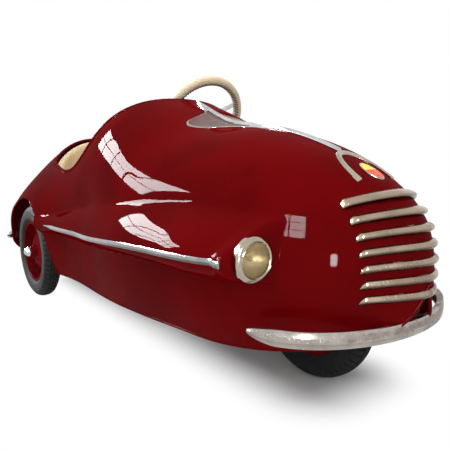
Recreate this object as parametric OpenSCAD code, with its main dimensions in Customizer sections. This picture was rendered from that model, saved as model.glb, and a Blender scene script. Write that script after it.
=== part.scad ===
/* [Wheels] */
// Outside diameter of the three tyres
tyre_d = 317; // [300:1:330]
// Width of a tyre
tyre_w = 57; // [50:1:60]
// Diameter of the rim flange
rim_d = 212; // [204:1:216]
// Distance from the front axle back to the rear axle
wheel_base = 1010; // [990:1:1030]
// Width over the outer faces of the rear tyres
rear_over = 644; // [636:1:648]
// Diameter of the rear axle
axle_d = 16; // [14:1:18]
// Diameter of the front axle
front_axle_d = 12; // [10:1:14]
// Radial running clearance of every turning fit
running_gap = 0.05; // [0.02:0.01:0.1]

/* [Body] */
// Half width of the body at its widest station
body_half_w = 302; // [298:1:310]
// Height of the cowl in front of the cockpit
cowl_h = 662; // [655:1:675]
// Reach of the nose ahead of the front axle
nose_reach = 266; // [258:1:275]
// Reach of the tail behind the front axle
tail_reach = 1357; // [1350:1:1364]
// Thickness of the body skin
wall = 4; // [3:0.5:5]
// Bulge of a side pod at the headlamp
pod_bulge = 85; // [80:1:90]
// Bulge of a rear fender over its wheel
fender_bulge = 80; // [76:1:88]
// Radius of a rear wheel arch
arch_r = 186; // [182:1:190]
// Radius of the bead round the cockpit
bead_r = 5; // [4:0.5:6]

/* [Trim] */
// Outside radius of a headlamp bezel
bezel_r = 42; // [40:0.5:43]
// Radius of a headlamp lens
lens_r = 31.5; // [29:0.5:33]
// Distance of a headlamp from the centre plane
lamp_x = 257; // [254:1:260]
// Height of the headlamps
lamp_z = 314; // [311:1:317]
// Half length of a grille bar
bar_half = 110; // [95:1:116]
// Height of one grille bar
bar_h = 16; // [12:0.5:18]
// Height of the lowest grille bar at its ends
bar_low_z = 240; // [236:1:244]
// Height from one grille bar to the next
bar_pitch = 27.6; // [26.4:0.2:28.4]
// Height of a bumper's face
bumper_h = 34; // [30:1:38]
// Depth of a bumper's section
bumper_t = 14; // [10:0.5:16]

/* [Frame] */
// Distance of a frame rail from the centre plane
rail_x = 190; // [184:1:196]
// Width of a frame rail
rail_w = 25; // [20:1:28]
// Height of a frame rail
rail_h = 40; // [34:1:42]
// Radius of the cross tubes
tube_r = 12.5; // [10:0.5:13]
// Thickness of the floor
floor_t = 3; // [2:0.5:4]

/* [Steering] */
// Outside radius of the steering wheel
wheel_r = 146; // [142:1:147]
// Radius of its wrapped rim
grip_r = 12; // [11:0.5:12.5]
// Distance of the steering wheel from the centre plane
wheel_x = 114; // [112:1:116]
// Tilt of the steering column from upright
column_tilt = 60; // [59:0.5:61]
// Radius of the column
column_r = 8; // [7:0.5:9]
// Rake of the front fork
rake = 20; // [18:1:22]
// Trail of the front wheel
trail = 30; // [26:1:34]
// Radius of the fork's steerer
steerer_r = 12.5; // [11:0.5:13]
// Radius of the crank at the column's end
drop_arm = 60; // [56:1:62]
// Length of the fork's steering arm
fork_arm = 75; // [72:1:80]

/* [Drive] */
// Distance of the crank axle behind the front axle
crank_back = 360; // [350:1:370]
// Height of the crank axle
crank_z = 190; // [186:1:196]
// Length of a crank arm from axle to pedal
crank_arm = 80; // [74:1:84]
// Teeth of the chain ring
ring_teeth = 22; // [20:1:24]
// Teeth of the rear sprocket
sprocket_teeth = 14; // [12:1:16]

/* [Seat] */
// Thickness of the seat cushion
cushion_h = 70; // [60:1:80]
// Thickness of the cockpit padding
pad_t = 24; // [18:1:28]

/* [Hidden] */
$fn = 64;

paint = "#6b0d16";
chrome = "#c9ccd0";
black = "#26282a";
cream = "#e3d2b0";

// Distances run forward from the front axle, and y_at turns one into the model's Y
front_y = -558;
function y_at(e) = front_y - e;
wheel_z = tyre_d / 2;
rear_e = -wheel_base;
rear_x = (rear_over - tyre_w) / 2;
seat_gap = 0.3;
chain_pitch = 12.7;

// Smooth curve through given points, with each slope set by its two neighbours
function step_of(xs, x, i = 0) = i >= len(xs) - 2 || x < xs[i + 1] ? i : step_of(xs, x, i + 1);
function rise(xs, ys, i) = (ys[i + 1] - ys[i]) / (xs[i + 1] - xs[i]);
function slope(xs, ys, i) =
    i == 0 ? rise(xs, ys, 0) :
    i == len(xs) - 1 ? rise(xs, ys, i - 1) :
    let (a = xs[i] - xs[i - 1], b = xs[i + 1] - xs[i])
    (rise(xs, ys, i - 1) * b + rise(xs, ys, i) * a) / (a + b);
function curve(xs, ys, x0) =
    let (x = min(max(x0, xs[0]), xs[len(xs) - 1]), i = step_of(xs, x), h = xs[i + 1] - xs[i],
        t = (x - xs[i]) / h, t2 = t * t, t3 = t2 * t)
    (2 * t3 - 3 * t2 + 1) * ys[i] + (t3 - 2 * t2 + t) * h * slope(xs, ys, i)
    + (3 * t2 - 2 * t3) * ys[i + 1] + (t3 - t2) * h * slope(xs, ys, i + 1);
function close_to(t, p) = pow(max(0, 1 - pow(min(max(t, 0), 1), p)), 1 / p);

// Body stations behind and ahead of the front axle, with the shape of each section
station = [-1300, -1150, -1000, -850, -700, -560, -450, -300, -100, 50, 160, 250] * wheel_base / 1010;
top_h = [580, 560, 570, 598, 627, 662, 630, 572, 547, 508, 475, 456] * cowl_h / 662;
half_w = [287, 290, 292, 294, 292, 292, 301, 302, 283, 266, 232, 200] * body_half_w / 302;
waist_h = [175, 195, 220, 272, 325, 375, 350, 315, 270, 270, 270, 270];
hem_h = [143, 130, 116, 108, 102, 98, 105, 114, 121, 122, 123, 123];
round_p = [2, 2, 2.05, 2.1, 2.2, 2.25, 2.25, 2.2, 2.15, 2.15, 2.1, 2.1];
hem_tuck = 0.105;
tuck_p = 2.4;
nose_from = -100;
nose_plan_p = 1.8;
nose_side_p = 3.12;
nose_low_p = 2;
nose_z = 270;
tail_from = -1000;
tail_plan_p = 2.6;
tail_side_p = 3.4;
tail_z = 175;

// Side pods: how far they stand out, their height, and how far they reach above and below it
pod_e = [-1000, -900, -500, -230, -80, 20, 55, 75, 88, 99, 115];
pod_out = [0, 0.1, 0.42, 0.61, 0.75, 0.9, 1, 1.05, 1.05, 0.4, 0] * pod_bulge;
pod_z = [270, 275, 285, 305, 311, 313, 314, 314, 314, 314, 314] + [for (k = [0:10]) lamp_z - 314];
pod_up = [22, 26, 80, 86, 84, 78, 74, 72, 70, 68, 60];
pod_down = [26, 30, 33, 40, 49, 54, 54, 53, 52, 52, 50];
fender_e = -1116 * wheel_base / 1010;
fender_z = 194;
fender_long = 260;
fender_high = 210;

// A point of the body: angle 0 is the waist, 90 the top, -90 the hem on the right side,
// 180 to 270 the left side, and inset moves it in through the skin
function fold(a) = a <= 90 ? a : 180 - a;
function body_point(e0, a0, inset = 0) =
    let (a = fold(a0), side = a0 <= 90 ? -1 : 1,
        nose_l = nose_reach - nose_from, tail_l = tail_reach + tail_from,
        tn = (e0 - nose_from) / nose_l, tt = (tail_from - e0) / tail_l,
        e = e0 - inset * (tn > 0 ? tn : 0) + inset * (tt > 0 ? tt : 0),
        w = curve(station, half_w, e0) - inset, top = curve(station, top_h, e0) - inset,
        waist = curve(station, waist_h, e0), hem = curve(station, hem_h, e0), p = curve(station, round_p, e0),
        plan = close_to(tn, nose_plan_p) * close_to(tt, tail_plan_p),
        s = max(0, -a / 90), u = max(0, a),
        x1 = plan * (a >= 0 ? w * pow(cos(u), 2 / p) : w * (1 - hem_tuck * pow(s, tuck_p))),
        z1 = a >= 0 ? waist + (top - waist) * pow(sin(u), 2 / p) : waist - (waist - hem) * s,
        mid = e0 > -500 ? nose_z : tail_z,
        tall = close_to(tn, z1 > mid ? nose_side_p : nose_low_p) * close_to(tt, tail_side_p),
        z = mid + (z1 - mid) * tall,
        f = min(1, 3 * x1 / w),
        dz = z - curve(pod_e, pod_z, e0),
        pod = curve(pod_e, pod_out, e0) * (dz > 0
            ? pow(1 - pow(min(1, dz / curve(pod_e, pod_up, e0)), 1.6), 1.15)
            : pow(1 - pow(min(1, -dz / curve(pod_e, pod_down, e0)), 2.4), 0.9)),
        fender = fender_bulge * close_to(tt, 3)
            * exp(-pow(abs((e0 - fender_e) / fender_long), 3) - pow(abs((z - fender_z) / fender_high), 3)),
        x = x1 + f * (pod + fender))
    [side * x, y_at(e), z];

// Height of the body's top at a place in plan, and its half width at a height
function top_z(e, x) =
    let (w = curve(station, half_w, e), top = curve(station, top_h, e), waist = curve(station, waist_h, e),
        p = curve(station, round_p, e), tn = (e - nose_from) / (nose_reach - nose_from),
        r = min(1, abs(x) / (w * close_to(tn, nose_plan_p))),
        z1 = waist + (top - waist) * pow(1 - pow(r, p), 1 / p))
    nose_z + (z1 - nose_z) * close_to(tn, nose_side_p);
function angle_at(e, z, lo = -90, hi = 90, n = 22) =
    let (m = (lo + hi) / 2)
    n == 0 ? m : body_point(e, m).z < z ? angle_at(e, z, m, hi, n - 1) : angle_at(e, z, lo, m, n - 1);
function body_x(e, z, inset = 0) = -body_point(e, angle_at(e, z), inset).x;
function nose_e(x, z, lo = -100, hi = nose_reach, n = 20) =
    let (m = (lo + hi) / 2)
    n == 0 ? m : body_x(m, z) > x ? nose_e(x, z, m, hi, n - 1) : nose_e(x, z, lo, m, n - 1);

// Cockpit edge, from the front centre over the right side to the rear centre
rim_e = [-509, -505, -509, -523, -545, -580, -612, -655, -720, -790, -860, -930, -1010, -1080, -1140, -1175, -1190, -1175];
rim_a = [101, 90, 79, 67, 54, 39, 30, 24.5, 22.5, 25.5, 31, 37, 43, 49, 58.5, 71, 90, 109];
rim_n = len(rim_e) - 3;
index = [for (k = [-1:rim_n + 1]) k];
function rim_at(u) = [curve(index, rim_e, u), curve(index, rim_a, u)];
front_split = 4;
rear_split = 13;
cowl_split_e = rim_e[front_split + 1];
cowl_split_a = rim_a[front_split + 1];
tail_split_e = rim_e[rear_split + 1];
tail_split_a = rim_a[rear_split + 1];
nose_split_e = -50;
side_n = 14;
roof_n = 6;

// Share of the way up a panel, with the rows drawn together at its pod
crowd = 0.6;
crowd_at = 0.72;
function share(k) = k / side_n
    - crowd / 2 / PI * (sin(360 * (k / side_n - crowd_at)) + sin(360 * crowd_at));

// Angles of one section, split where the cockpit edge meets the next panel
function angles(a) =
    let (half = concat([for (k = [0:side_n]) -90 + (a + 90) * share(k)],
        [for (k = [1:roof_n]) a + (90 - a) * k / roof_n]))
    concat(half, [for (k = [len(half) - 2:-1:0]) 180 - half[k]]);
// Place on the cockpit edge at an angle, looked for between two of its points
function rim_cross(a, lo, hi, n = 20) =
    let (m = (lo + hi) / 2, below = rim_at(m)[1] < a)
    n == 0 ? m
    : (below == (rim_at(lo)[1] < rim_at(hi)[1])) ? rim_cross(a, m, hi, n - 1) : rim_cross(a, lo, m, n - 1);

// Closed solid between two grids; tip joins the last row's left half to its right half
module skin(outer, inner, flip = false, tip = false) {
    n = len(outer);
    m = len(outer[0]);
    function id(i, j, side) = side * n * m + i * m + (tip && i == n - 1 ? min(j, m - 1 - j) : j);
    quads = concat(
        [for (i = [0:n - 2], j = [0:m - 2]) [id(i, j, 0), id(i, j + 1, 0), id(i + 1, j + 1, 0), id(i + 1, j, 0)]],
        [for (i = [0:n - 2], j = [0:m - 2]) [id(i, j, 1), id(i + 1, j, 1), id(i + 1, j + 1, 1), id(i, j + 1, 1)]],
        [for (i = [0:n - 2]) [id(i, 0, 0), id(i + 1, 0, 0), id(i + 1, 0, 1), id(i, 0, 1)]],
        [for (i = [0:n - 2]) [id(i, m - 1, 0), id(i, m - 1, 1), id(i + 1, m - 1, 1), id(i + 1, m - 1, 0)]],
        [for (j = [0:m - 2]) [id(0, j, 0), id(0, j, 1), id(0, j + 1, 1), id(0, j + 1, 0)]],
        tip ? [] : [for (j = [0:m - 2])
            [id(n - 1, j, 0), id(n - 1, j + 1, 0), id(n - 1, j + 1, 1), id(n - 1, j, 1)]]);
    tris = [for (q = quads) each [[q[0], q[1], q[2]], [q[0], q[2], q[3]]]];
    polyhedron([for (g = [outer, inner], row = g) each row],
        [for (t = tris) flip ? [t[2], t[1], t[0]] : t]);
}

// Tube of rings along a path, closed at both ends or joined into a loop
module tube(rings, loop = false) {
    n = len(rings);
    m = len(rings[0]);
    last = loop ? n - 1 : n - 2;
    sides = [for (i = [0:last], j = [0:m - 1])
        let (a = i * m + j, b = i * m + (j + 1) % m, c = ((i + 1) % n) * m + (j + 1) % m, d = ((i + 1) % n) * m + j)
        each [[a, b, c], [a, c, d]]];
    caps = loop ? [] : concat([for (j = [1:m - 2]) [0, j + 1, j]],
        [for (j = [1:m - 2]) [(n - 1) * m, (n - 1) * m + j, (n - 1) * m + j + 1]]);
    polyhedron([for (r = rings) each r], concat(sides, caps));
}

module rod(p, q, r) {
    v = q - p;
    translate(p) rotate([0, acos(v.z / norm(v)), atan2(v.y, v.x)]) cylinder(h = norm(v), r = r);
}

// Cylinder along X between two places
module cross_rod(x0, x1, e, z, r) {
    translate([x0, y_at(e), z]) rotate([0, 90, 0]) cylinder(h = x1 - x0, r = r);
}

// Box from low to high corner, with e running forward
module block(x0, x1, e0, e1, z0, z1) {
    translate([x0, y_at(e1), z0]) cube([x1 - x0, e1 - e0, z1 - z0]);
}

// Body panels
nose_rings = [-50, -15, 15, 38, 58, 75, 85, 92, 99, 108, 122, 142, 165, 190, 212, 232, 247, 257, 263];
module body_nose() {
    g = angles(cowl_split_a);
    es = concat([for (e = nose_rings) if (e < nose_reach - 1) e], [nose_reach]);
    function face(inset) = [for (e = es) [for (a = g) tip_point(e, a, inset)]];
    color(paint) difference() {
        skin(face(0), face(wall), tip = true);
        for (s = [-1, 1]) lamp_hole(s);
        for (s = [-1, 1]) iron_slot(s, 0, nose_reach);
    }
}
// The very tip closes on a short upright edge of no width
tip_frac = 0.995;
function tip_point(e, a, inset) =
    e < nose_reach && e > -tail_reach ? body_point(e, a, inset) :
    let (ahead = e > 0, near = ahead ? nose_from + (nose_reach - nose_from) * tip_frac
            : tail_from - (tail_reach + tail_from) * tip_frac,
        q = body_point(near, a, inset), sign = ahead ? 1 : -1)
    [0, y_at(e - sign * inset), q.z];
module lamp_hole(s) {
    lamp_place(s) cylinder(h = 80, r = bucket_r + seat_gap);
    lamp_place(s) translate([0, 0, -30]) cylinder(h = 30 + bezel_d + seat_gap, r = bezel_r + seat_gap);
}

module body_cowl() {
    g = angles(cowl_split_a);
    function back(a) = abs(fold(a)) <= cowl_split_a || fold(a) < 0 ? cowl_split_e
        : rim_at(rim_cross(fold(a), 0, front_split))[0];
    function face(inset) = [for (k = [0:cowl_n]) [for (a = g)
        body_point(back(a) + (nose_split_e - back(a)) * k / cowl_n, a, inset)]];
    color(paint) skin(face(0), face(wall));
}
cowl_n = 12;

side_rows = 16;
module body_side(s) {
    es = [for (k = [0:side_rows]) tail_split_e + (cowl_split_e - tail_split_e) * k / side_rows];
    function edge(e) = rim_at(rim_place(e))[1];
    function face(inset) = [for (e = es) [for (k = [0:side_n])
        let (a = -90 + (edge(e) + 90) * share(k), p = body_point(e, a, inset)) [-s * p.x, p.y, p.z]]];
    color(paint) difference() {
        skin(face(0), face(wall), flip = s > 0);
        wheel_arch(s);
    }
}
// Place along the cockpit edge of a distance e on its side stretch
function rim_place(e, lo = front_split, hi = rear_split, n = 24) =
    let (m = (lo + hi) / 2)
    n == 0 ? m : rim_at(m)[0] > e ? rim_place(e, m, hi, n - 1) : rim_place(e, lo, m, n - 1);
arch_back = 16;
module wheel_arch(s) {
    translate([s * 200, y_at(rear_e - arch_back), wheel_z]) rotate([0, s * 90, 0]) cylinder(h = 250, r = arch_r);
}
module body_side_right() { body_side(-1); }
module body_side_left() { body_side(1); }

tail_rows = [-1160, -1190, -1220, -1250, -1280, -1305, -1325, -1340, -1350, -1355];
module body_tail() {
    g = angles(tail_split_a);
    function front(a) = fold(a) <= tail_split_a ? tail_split_e
        : rim_at(rim_cross(fold(a), rear_split, rim_n))[0];
    es = [for (e = tail_rows) if (e > -tail_reach + 1) e];
    function face(inset) = concat([[for (a = g) body_point(front(a), a, inset)]],
        [for (e = es) [for (a = g) body_point(e < tail_split_e - 60 ? e
            : front(a) + (es[2] - front(a)) * (tail_split_e - e + 20) / (tail_split_e - es[2] + 20), a, inset)]],
        [[for (a = g) tip_point(-tail_reach, a, inset)]]);
    color(paint) difference() {
        skin(face(0), face(wall), flip = true, tip = true);
        for (s = [-1, 1]) wheel_arch(s);
        for (s = [-1, 1]) iron_slot(s, -tail_reach, -1200);
    }
}

// The bead follows the edge points of the panels one by one
module cockpit_bead() {
    sides = 8;
    half = concat([0],
        [for (k = [roof_n - 1:-1:1]) rim_cross(cowl_split_a + (90 - cowl_split_a) * k / roof_n, 0, front_split)],
        [front_split],
        [for (k = [side_rows - 1:-1:1]) rim_place(tail_split_e + (cowl_split_e - tail_split_e) * k / side_rows)],
        [rear_split],
        [for (k = [1:roof_n - 1]) rim_cross(tail_split_a + (90 - tail_split_a) * k / roof_n, rear_split, rim_n)],
        [rim_n]);
    m = len(half);
    places = concat([for (u = half) [u, 1]], [for (k = [m - 2:-1:1]) [half[k], -1]]);
    turns = len(places);
    function edge(q, inset) = let (r = rim_at(q[0]), p = body_point(r[0], r[1], inset)) [q[1] * p.x, p.y, p.z];
    pts = [for (q = places) edge(q, wall / 2)];
    outs = [for (k = [0:turns - 1]) edge(places[k], 0) - pts[k]];
    color(paint) tube([for (k = [0:turns - 1])
        let (c = pts[k], v0 = c - pts[(k + turns - 1) % turns], v1 = pts[(k + 1) % turns] - c,
            t = v0 / norm(v0) + v1 / norm(v1), d = t / norm(t),
            off = cross(d, outs[k]), b = off / norm(off), n = cross(b, d))
        [for (j = [0:sides - 1])
            c + (bead_r + bead_gap) * b + bead_r * (cos(360 * j / sides) * n + sin(360 * j / sides) * b)]],
        loop = true);
}
bead_gap = 1;

// Headlamps, with the bucket let into the pod
bucket_r = bezel_r - 4;
lamp_front = 98;
bezel_d = 16;
module lamp_place(s) { translate([s * lamp_x, y_at(lamp_front), lamp_z]) rotate([-90, 0, 0]) children(); }
module headlamp_bezel(s) {
    color(chrome) lamp_place(s) rotate_extrude() polygon(concat(
        [[lens_r - 2, 3], [lens_r - 2, 1]],
        [for (a = [0:15:90]) [bezel_r - 8 + 8 * sin(a), 8 - 8 * cos(a)]],
        [[bezel_r, bezel_d], [bucket_r, bezel_d], [bucket_r, 60], [bucket_r - 2, 60], [bucket_r - 2, 8],
            [lens_r + 0.1, 8], [lens_r + 0.1, 3]]));
}
module headlamp_bezel_right() { headlamp_bezel(-1); }
module headlamp_bezel_left() { headlamp_bezel(1); }
module headlamp_lens(s) {
    color("#e9e4d2") lamp_place(s) rotate_extrude() polygon([[0, 3.2], [lens_r - 0.4, 3.2], [lens_r - 0.4, 6.5],
        [0, 6.5]]);
}
module headlamp_lens_right() { headlamp_lens(-1); }
module headlamp_lens_left() { headlamp_lens(1); }
module headlamp_reflector(s) {
    bowl = lens_r - 1;
    color("#c9a95a") lamp_place(s) rotate_extrude() polygon(concat(
        [[bowl + 3, 8.2], [bowl, 8.2]], [for (k = [9:-1:0]) [bowl * k / 10, 7 + 26 * (1 - pow(k / 10, 2)) + 1.5]],
        [for (k = [0:9]) [(bowl + 1.5) * k / 10, 9 + 27 * (1 - pow(k / 10, 2)) + 1.5]], [[bowl + 3, 11]]));
}
module headlamp_reflector_right() { headlamp_reflector(-1); }
module headlamp_reflector_left() { headlamp_reflector(1); }

// Chrome strip on the ridge of a pod, pointed at the rear
strip_h = 9;
strip_t = 5;
strip_from = -815;
strip_to = 42;
module side_strip(s) {
    n = 30;
    function ring(e) = let (z = curve(pod_e, pod_z, e) - 3, k = min(1, 0.15 + (e - strip_from) / 90), h = strip_h * k / 2,
        x = body_x(e, z) + seat_gap)
        [[s * x, y_at(e), z - h], [s * (x + strip_t * 0.6 * k), y_at(e), z - h],
            [s * (x + strip_t * k), y_at(e), z - h * 0.1], [s * (x + strip_t * 0.6 * k), y_at(e), z + h],
            [s * x, y_at(e), z + h]];
    es = [for (k = [0:n]) strip_from + (strip_to - strip_from) * k / n];
    color(chrome) tube([for (e = s < 0 ? es : [for (k = [n:-1:0]) es[k]]) ring(e)]);
}
module side_strip_right() { side_strip(-1); }
module side_strip_left() { side_strip(1); }

// Chrome laid on the hood: half widths of the ornament along the centre
orn_e = [-450, -420, -390, -360, -330, -300, -272, -250, -232, -200, -80, 60];
orn_w = [2, 11, 34, 92, 116, 116, 96, 46, 13, 7, 6, 5];
orn_fin = 12;
orn_gap = 1.1;
module hood_ornament() {
    n = 26;
    m = 10;
    es = [for (k = [0:n]) orn_e[0] + (orn_e[len(orn_e) - 1] - orn_e[0]) * k / n];
    function w(e) = max(1.5, curve(orn_e, orn_w, e));
    function point(e, k, up) = let (x = w(e) * k, r = abs(x))
        [x, y_at(e), top_z(e, x) + orn_gap + (up ? 2 + (orn_fin - 2) * exp(-pow(r / 5, 2)) * (e < -200 ? 1 : 0.5) : 0)];
    ks = [for (k = [0:m]) let (t = 2 * k / m - 1) sign(t) * pow(abs(t), 1.6)];
    color(chrome) skin([for (e = es) [for (k = ks) point(e, k, true)]], [for (e = es) [for (k = ks) point(e, k, false)]]);
}

shoe_w = 9;
shoe_t = 5;
shoe_half = 52;
shoe_from = 150;
shoe_long = 82;
module horseshoe_trim() {
    n = 24;
    function mid(t) = [shoe_half * cos(t), shoe_from - shoe_long * sin(t)];
    function ring(t) = let (c = mid(t), d0 = mid(t + 1) - mid(t - 1), d = d0 / norm(d0), q = [d.y, -d.x])
        [for (k = [[-0.5, 0], [-0.5, 0.4], [-0.15, 1], [0.15, 1], [0.5, 0.4], [0.5, 0]])
            let (x = c.x + q.x * shoe_w * k[0], e = c.y + q.y * shoe_w * k[0])
            [x, y_at(e), top_z(e, x) + seat_gap + shoe_t * k[1]]];
    color(chrome) tube([for (k = [0:n]) ring(180 * k / n)]);
}

badge_half = 19;
badge_long = 26;
badge_e = 138;
badge_t = 2.5;
module badge_plate() {
    n = 16;
    m = 8;
    function point(i, j, up) = let (t = 0.99 * sin(-90 + 180 * i / n), k = sin(-90 + 180 * j / m),
        x = badge_half * k * sqrt(1 - t * t), e = badge_e + badge_long * t, r = norm([k * sqrt(1 - t * t), t]))
        [x, y_at(e), top_z(e, x) + seat_gap + (up ? badge_t * (1 - 0.5 * pow(r, 6)) : 0)];
    color("#c9791f") skin([for (i = [0:n]) [for (j = [0:m]) point(i, j, true)]],
        [for (i = [0:n]) [for (j = [0:m]) point(i, j, false)]]);
}

// Grille bars follow the nose at their own heights, each arched to its middle
bar_t = 8;
bar_arch = 9;
module grille_bar(k) {
    up = (7 - k) / 6;
    n = 18;
    xs = [for (i = [0:n]) bar_half * sin(-90 + 180 * i / n)];
    function z_at(x) = bar_low_z + 6 * up * bar_pitch + bar_arch * (1 + up) * (1 - pow(x / bar_half, 2));
    path = [for (x = xs) [x, nose_e(abs(x), z_at(x))]];
    function size(i) = min(1, 0.25 + min(i, n - i) / 2.5);
    function ring(i) = let (a = path[max(0, i - 1)], b = path[min(n, i + 1)], d = (b - a) / norm(b - a), q = [-d.y, d.x],
        z = z_at(xs[i]), h = bar_h / 2 * size(i),
        low = [xs[i], nose_e(abs(xs[i]), z - h)], high = [xs[i], nose_e(abs(xs[i]), z + h)])
        [for (p = [[low, 0, -1], [low, 0.35, -0.95], [low, 0.9, -0.2], [low, 0.9, 0.2], [low, 0.4, 0.95], [high, 0, 1]])
            let (c = p[0] + q * (bar_gap + p[1] * bar_t * size(i))) [c.x, y_at(c.y), z + h * p[2]]];
    color(chrome) tube([for (i = [0:n]) ring(i)]);
}
bar_gap = 0.8;
module grille_bar_1() { grille_bar(1); }
module grille_bar_2() { grille_bar(2); }
module grille_bar_3() { grille_bar(3); }
module grille_bar_4() { grille_bar(4); }
module grille_bar_5() { grille_bar(5); }
module grille_bar_6() { grille_bar(6); }
module grille_bar_7() { grille_bar(7); }

// Bumpers: a ridged bar bent round each end
bumper_half = 228;
bumper_from = 75;
bumper_out = 158;
bumper_z = 174;
bumper_p = 2.13;
rear_bumper_half = 326;
rear_bumper_e = -1388;
rear_bumper_wrap = 78;
module bumper(path, out, deep) {
    n = len(path) - 1;
    function ring(i) = let (a = path[max(0, i - 1)], b = path[min(n, i + 1)], d = (b - a) / norm(b - a),
        q = out * [-d.y, d.x], h = bumper_h / 2 * bumper_end(i, n))
        [for (p = [[-1, -0.7], [-0.15, -1], [0, -0.35], [0, 0.35], [-0.15, 1], [-1, 0.7]])
            let (c = path[i] + q * p[0] * deep[i]) [c.x, y_at(c.y), bumper_z + h * p[1]]];
    rings = [for (i = [0:n]) ring(i)];
    tube(out > 0 ? rings : [for (r = rings) [for (j = [len(r) - 1:-1:0]) r[j]]]);
}
function bumper_end(i, n) = sqrt(min(1, 0.06 + min(i, n - i) / 3.5));
function bow(x) = bumper_from + bumper_out * pow(1 - pow(min(1, abs(x) / bumper_half), bumper_p), 1 / bumper_p);
bumper_tips = [-44, -30, -15];
module front_bumper() {
    n = 34;
    arc = [for (k = [0:n]) let (x = bumper_half * sin(-90 + 180 * k / n)) [x, bow(x)]];
    function body(e) = max([for (h = [-0.5, 0, 0.5]) body_x(e, bumper_z + h * bumper_h)]);
    tips = [for (t = bumper_tips) let (e = bumper_from + t) [max(bumper_half, body(e) + 5), e]];
    path = concat([for (t = tips) [-t.x, t.y]], arc, [for (k = [len(tips) - 1:-1:0]) tips[k]]);
    deep = [for (p = path) p.y > bumper_from + 100 ? bumper_t : min(bumper_t, abs(p.x) - body(p.y) - 2)];
    color(chrome) bumper(path, 1, deep);
}
module rear_bumper() {
    n = 30;
    path = [for (k = [0:n]) let (x = -rear_bumper_half * cos(180 * k / n))
        [x, rear_bumper_e + rear_bumper_wrap * pow(abs(x) / rear_bumper_half, 3)]];
    color(chrome) bumper(path, -1, [for (p = path) bumper_t]);
}

// Irons that carry the bumpers, through slots in the skin
iron_x = 120;
iron_w = 25;
iron_t = 6;
iron_z = 168;
slot_gap = 1;
module iron_slot(s, e0, e1) {
    block(s * iron_x - iron_w / 2 - slot_gap, s * iron_x + iron_w / 2 + slot_gap, e0, e1,
        iron_z - slot_gap, iron_z + iron_t + slot_gap);
}
rail_front = -222;
rail_back = -1200;
rail_low = wheel_z + 33.5;
rail_top = rail_low + rail_h;
front_cross_e = -235;
module front_irons() {
    far = iron_x + iron_w / 2;
    tip = bow(far) - bumper_t * norm([1, bow(far) - bow(far - 1)]) - seat_gap;
    color(black) for (s = [-1, 1]) {
        block(s * iron_x - iron_w / 2, s * iron_x + iron_w / 2, front_cross_e - iron_t / 2, tip, iron_z, iron_z + iron_t);
        block(s * iron_x - iron_w / 2, s * iron_x + iron_w / 2, front_cross_e - iron_t / 2,
            front_cross_e + iron_t / 2, iron_z + iron_t, rail_top - 2 * tube_r);
    }
}
module rear_irons() {
    wrap = rear_bumper_e + rear_bumper_wrap * pow((iron_x + iron_w / 2) / rear_bumper_half, 3);
    color(black) for (s = [-1, 1]) {
        block(s * iron_x - iron_w / 2, s * iron_x + iron_w / 2, wrap + bumper_t + seat_gap, rear_cross_e + iron_t / 2,
            iron_z, iron_z + iron_t);
        block(s * iron_x - iron_w / 2, s * iron_x + iron_w / 2, rear_cross_e - iron_t / 2, rear_cross_e + iron_t / 2,
            iron_z + iron_t, rail_top - 2 * tube_r);
    }
}

// Frame
module rail(s) {
    color(black) difference() {
        block(s * rail_x - rail_w / 2, s * rail_x + rail_w / 2, rail_back, rail_front, rail_low, rail_top);
        block(s * rail_x - rail_w / 2 + 3, s * rail_x + rail_w / 2 - 3, rail_back - 1, rail_front + 1,
            rail_low + 3, rail_top - 3);
    }
}
module rail_right() { rail(-1); }
module rail_left() { rail(1); }
cross_z = rail_top - tube_r;
rear_cross_e = -1185;
outrigger_w = 40;
outrigger_t = 8;
rear_outrigger_e = -700;
module outrigger(s, e) {
    z = cross_z;
    reach = min([for (k = [-0.5, 0.5], h = [0, outrigger_t]) body_x(e + k * outrigger_w, z + h, wall)]) - seat_gap;
    near = rail_x + rail_w / 2;
    block(s > 0 ? near : -reach, s > 0 ? reach : -near, e - outrigger_w / 2, e + outrigger_w / 2, z, z + outrigger_t);
}
module cross_front() {
    inner = rail_x - rail_w / 2;
    color(black) {
        cross_rod(-inner, inner, front_cross_e, cross_z, tube_r);
        for (s = [-1, 1]) outrigger(s, front_cross_e - 20);
    }
}
module cross_rear() {
    inner = rail_x - rail_w / 2;
    color(black) {
        cross_rod(-inner, inner, rear_cross_e, cross_z, tube_r);
        for (s = [-1, 1]) outrigger(s, rear_outrigger_e);
    }
}

// Steering axis of the fork, leaning back as it rises
function axis_e(z) = trail - z * tan(rake);
head_low = 365;
head_high = 430;
head_r = 19;
module on_axis(z) { translate([0, y_at(axis_e(z)), z]) rotate([-rake, 0, 0]) children(); }
neck_x = 60;
neck_r = 10;
module neck() {
    long = (head_high - head_low) / cos(rake);
    color(black) difference() {
        union() {
            on_axis(head_low) cylinder(h = long, r = head_r);
            for (s = [-1, 1])
                rod([s * neck_x, y_at(front_cross_e), cross_z + tube_r * 0.8],
                    [s * 14, y_at(axis_e(head_low + 30)), head_low + 30], neck_r);
        }
        on_axis(head_low - 20) cylinder(h = long + 60, r = steerer_r + running_gap);
        cross_rod(-rail_x, rail_x, front_cross_e, cross_z, tube_r);
    }
}

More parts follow.
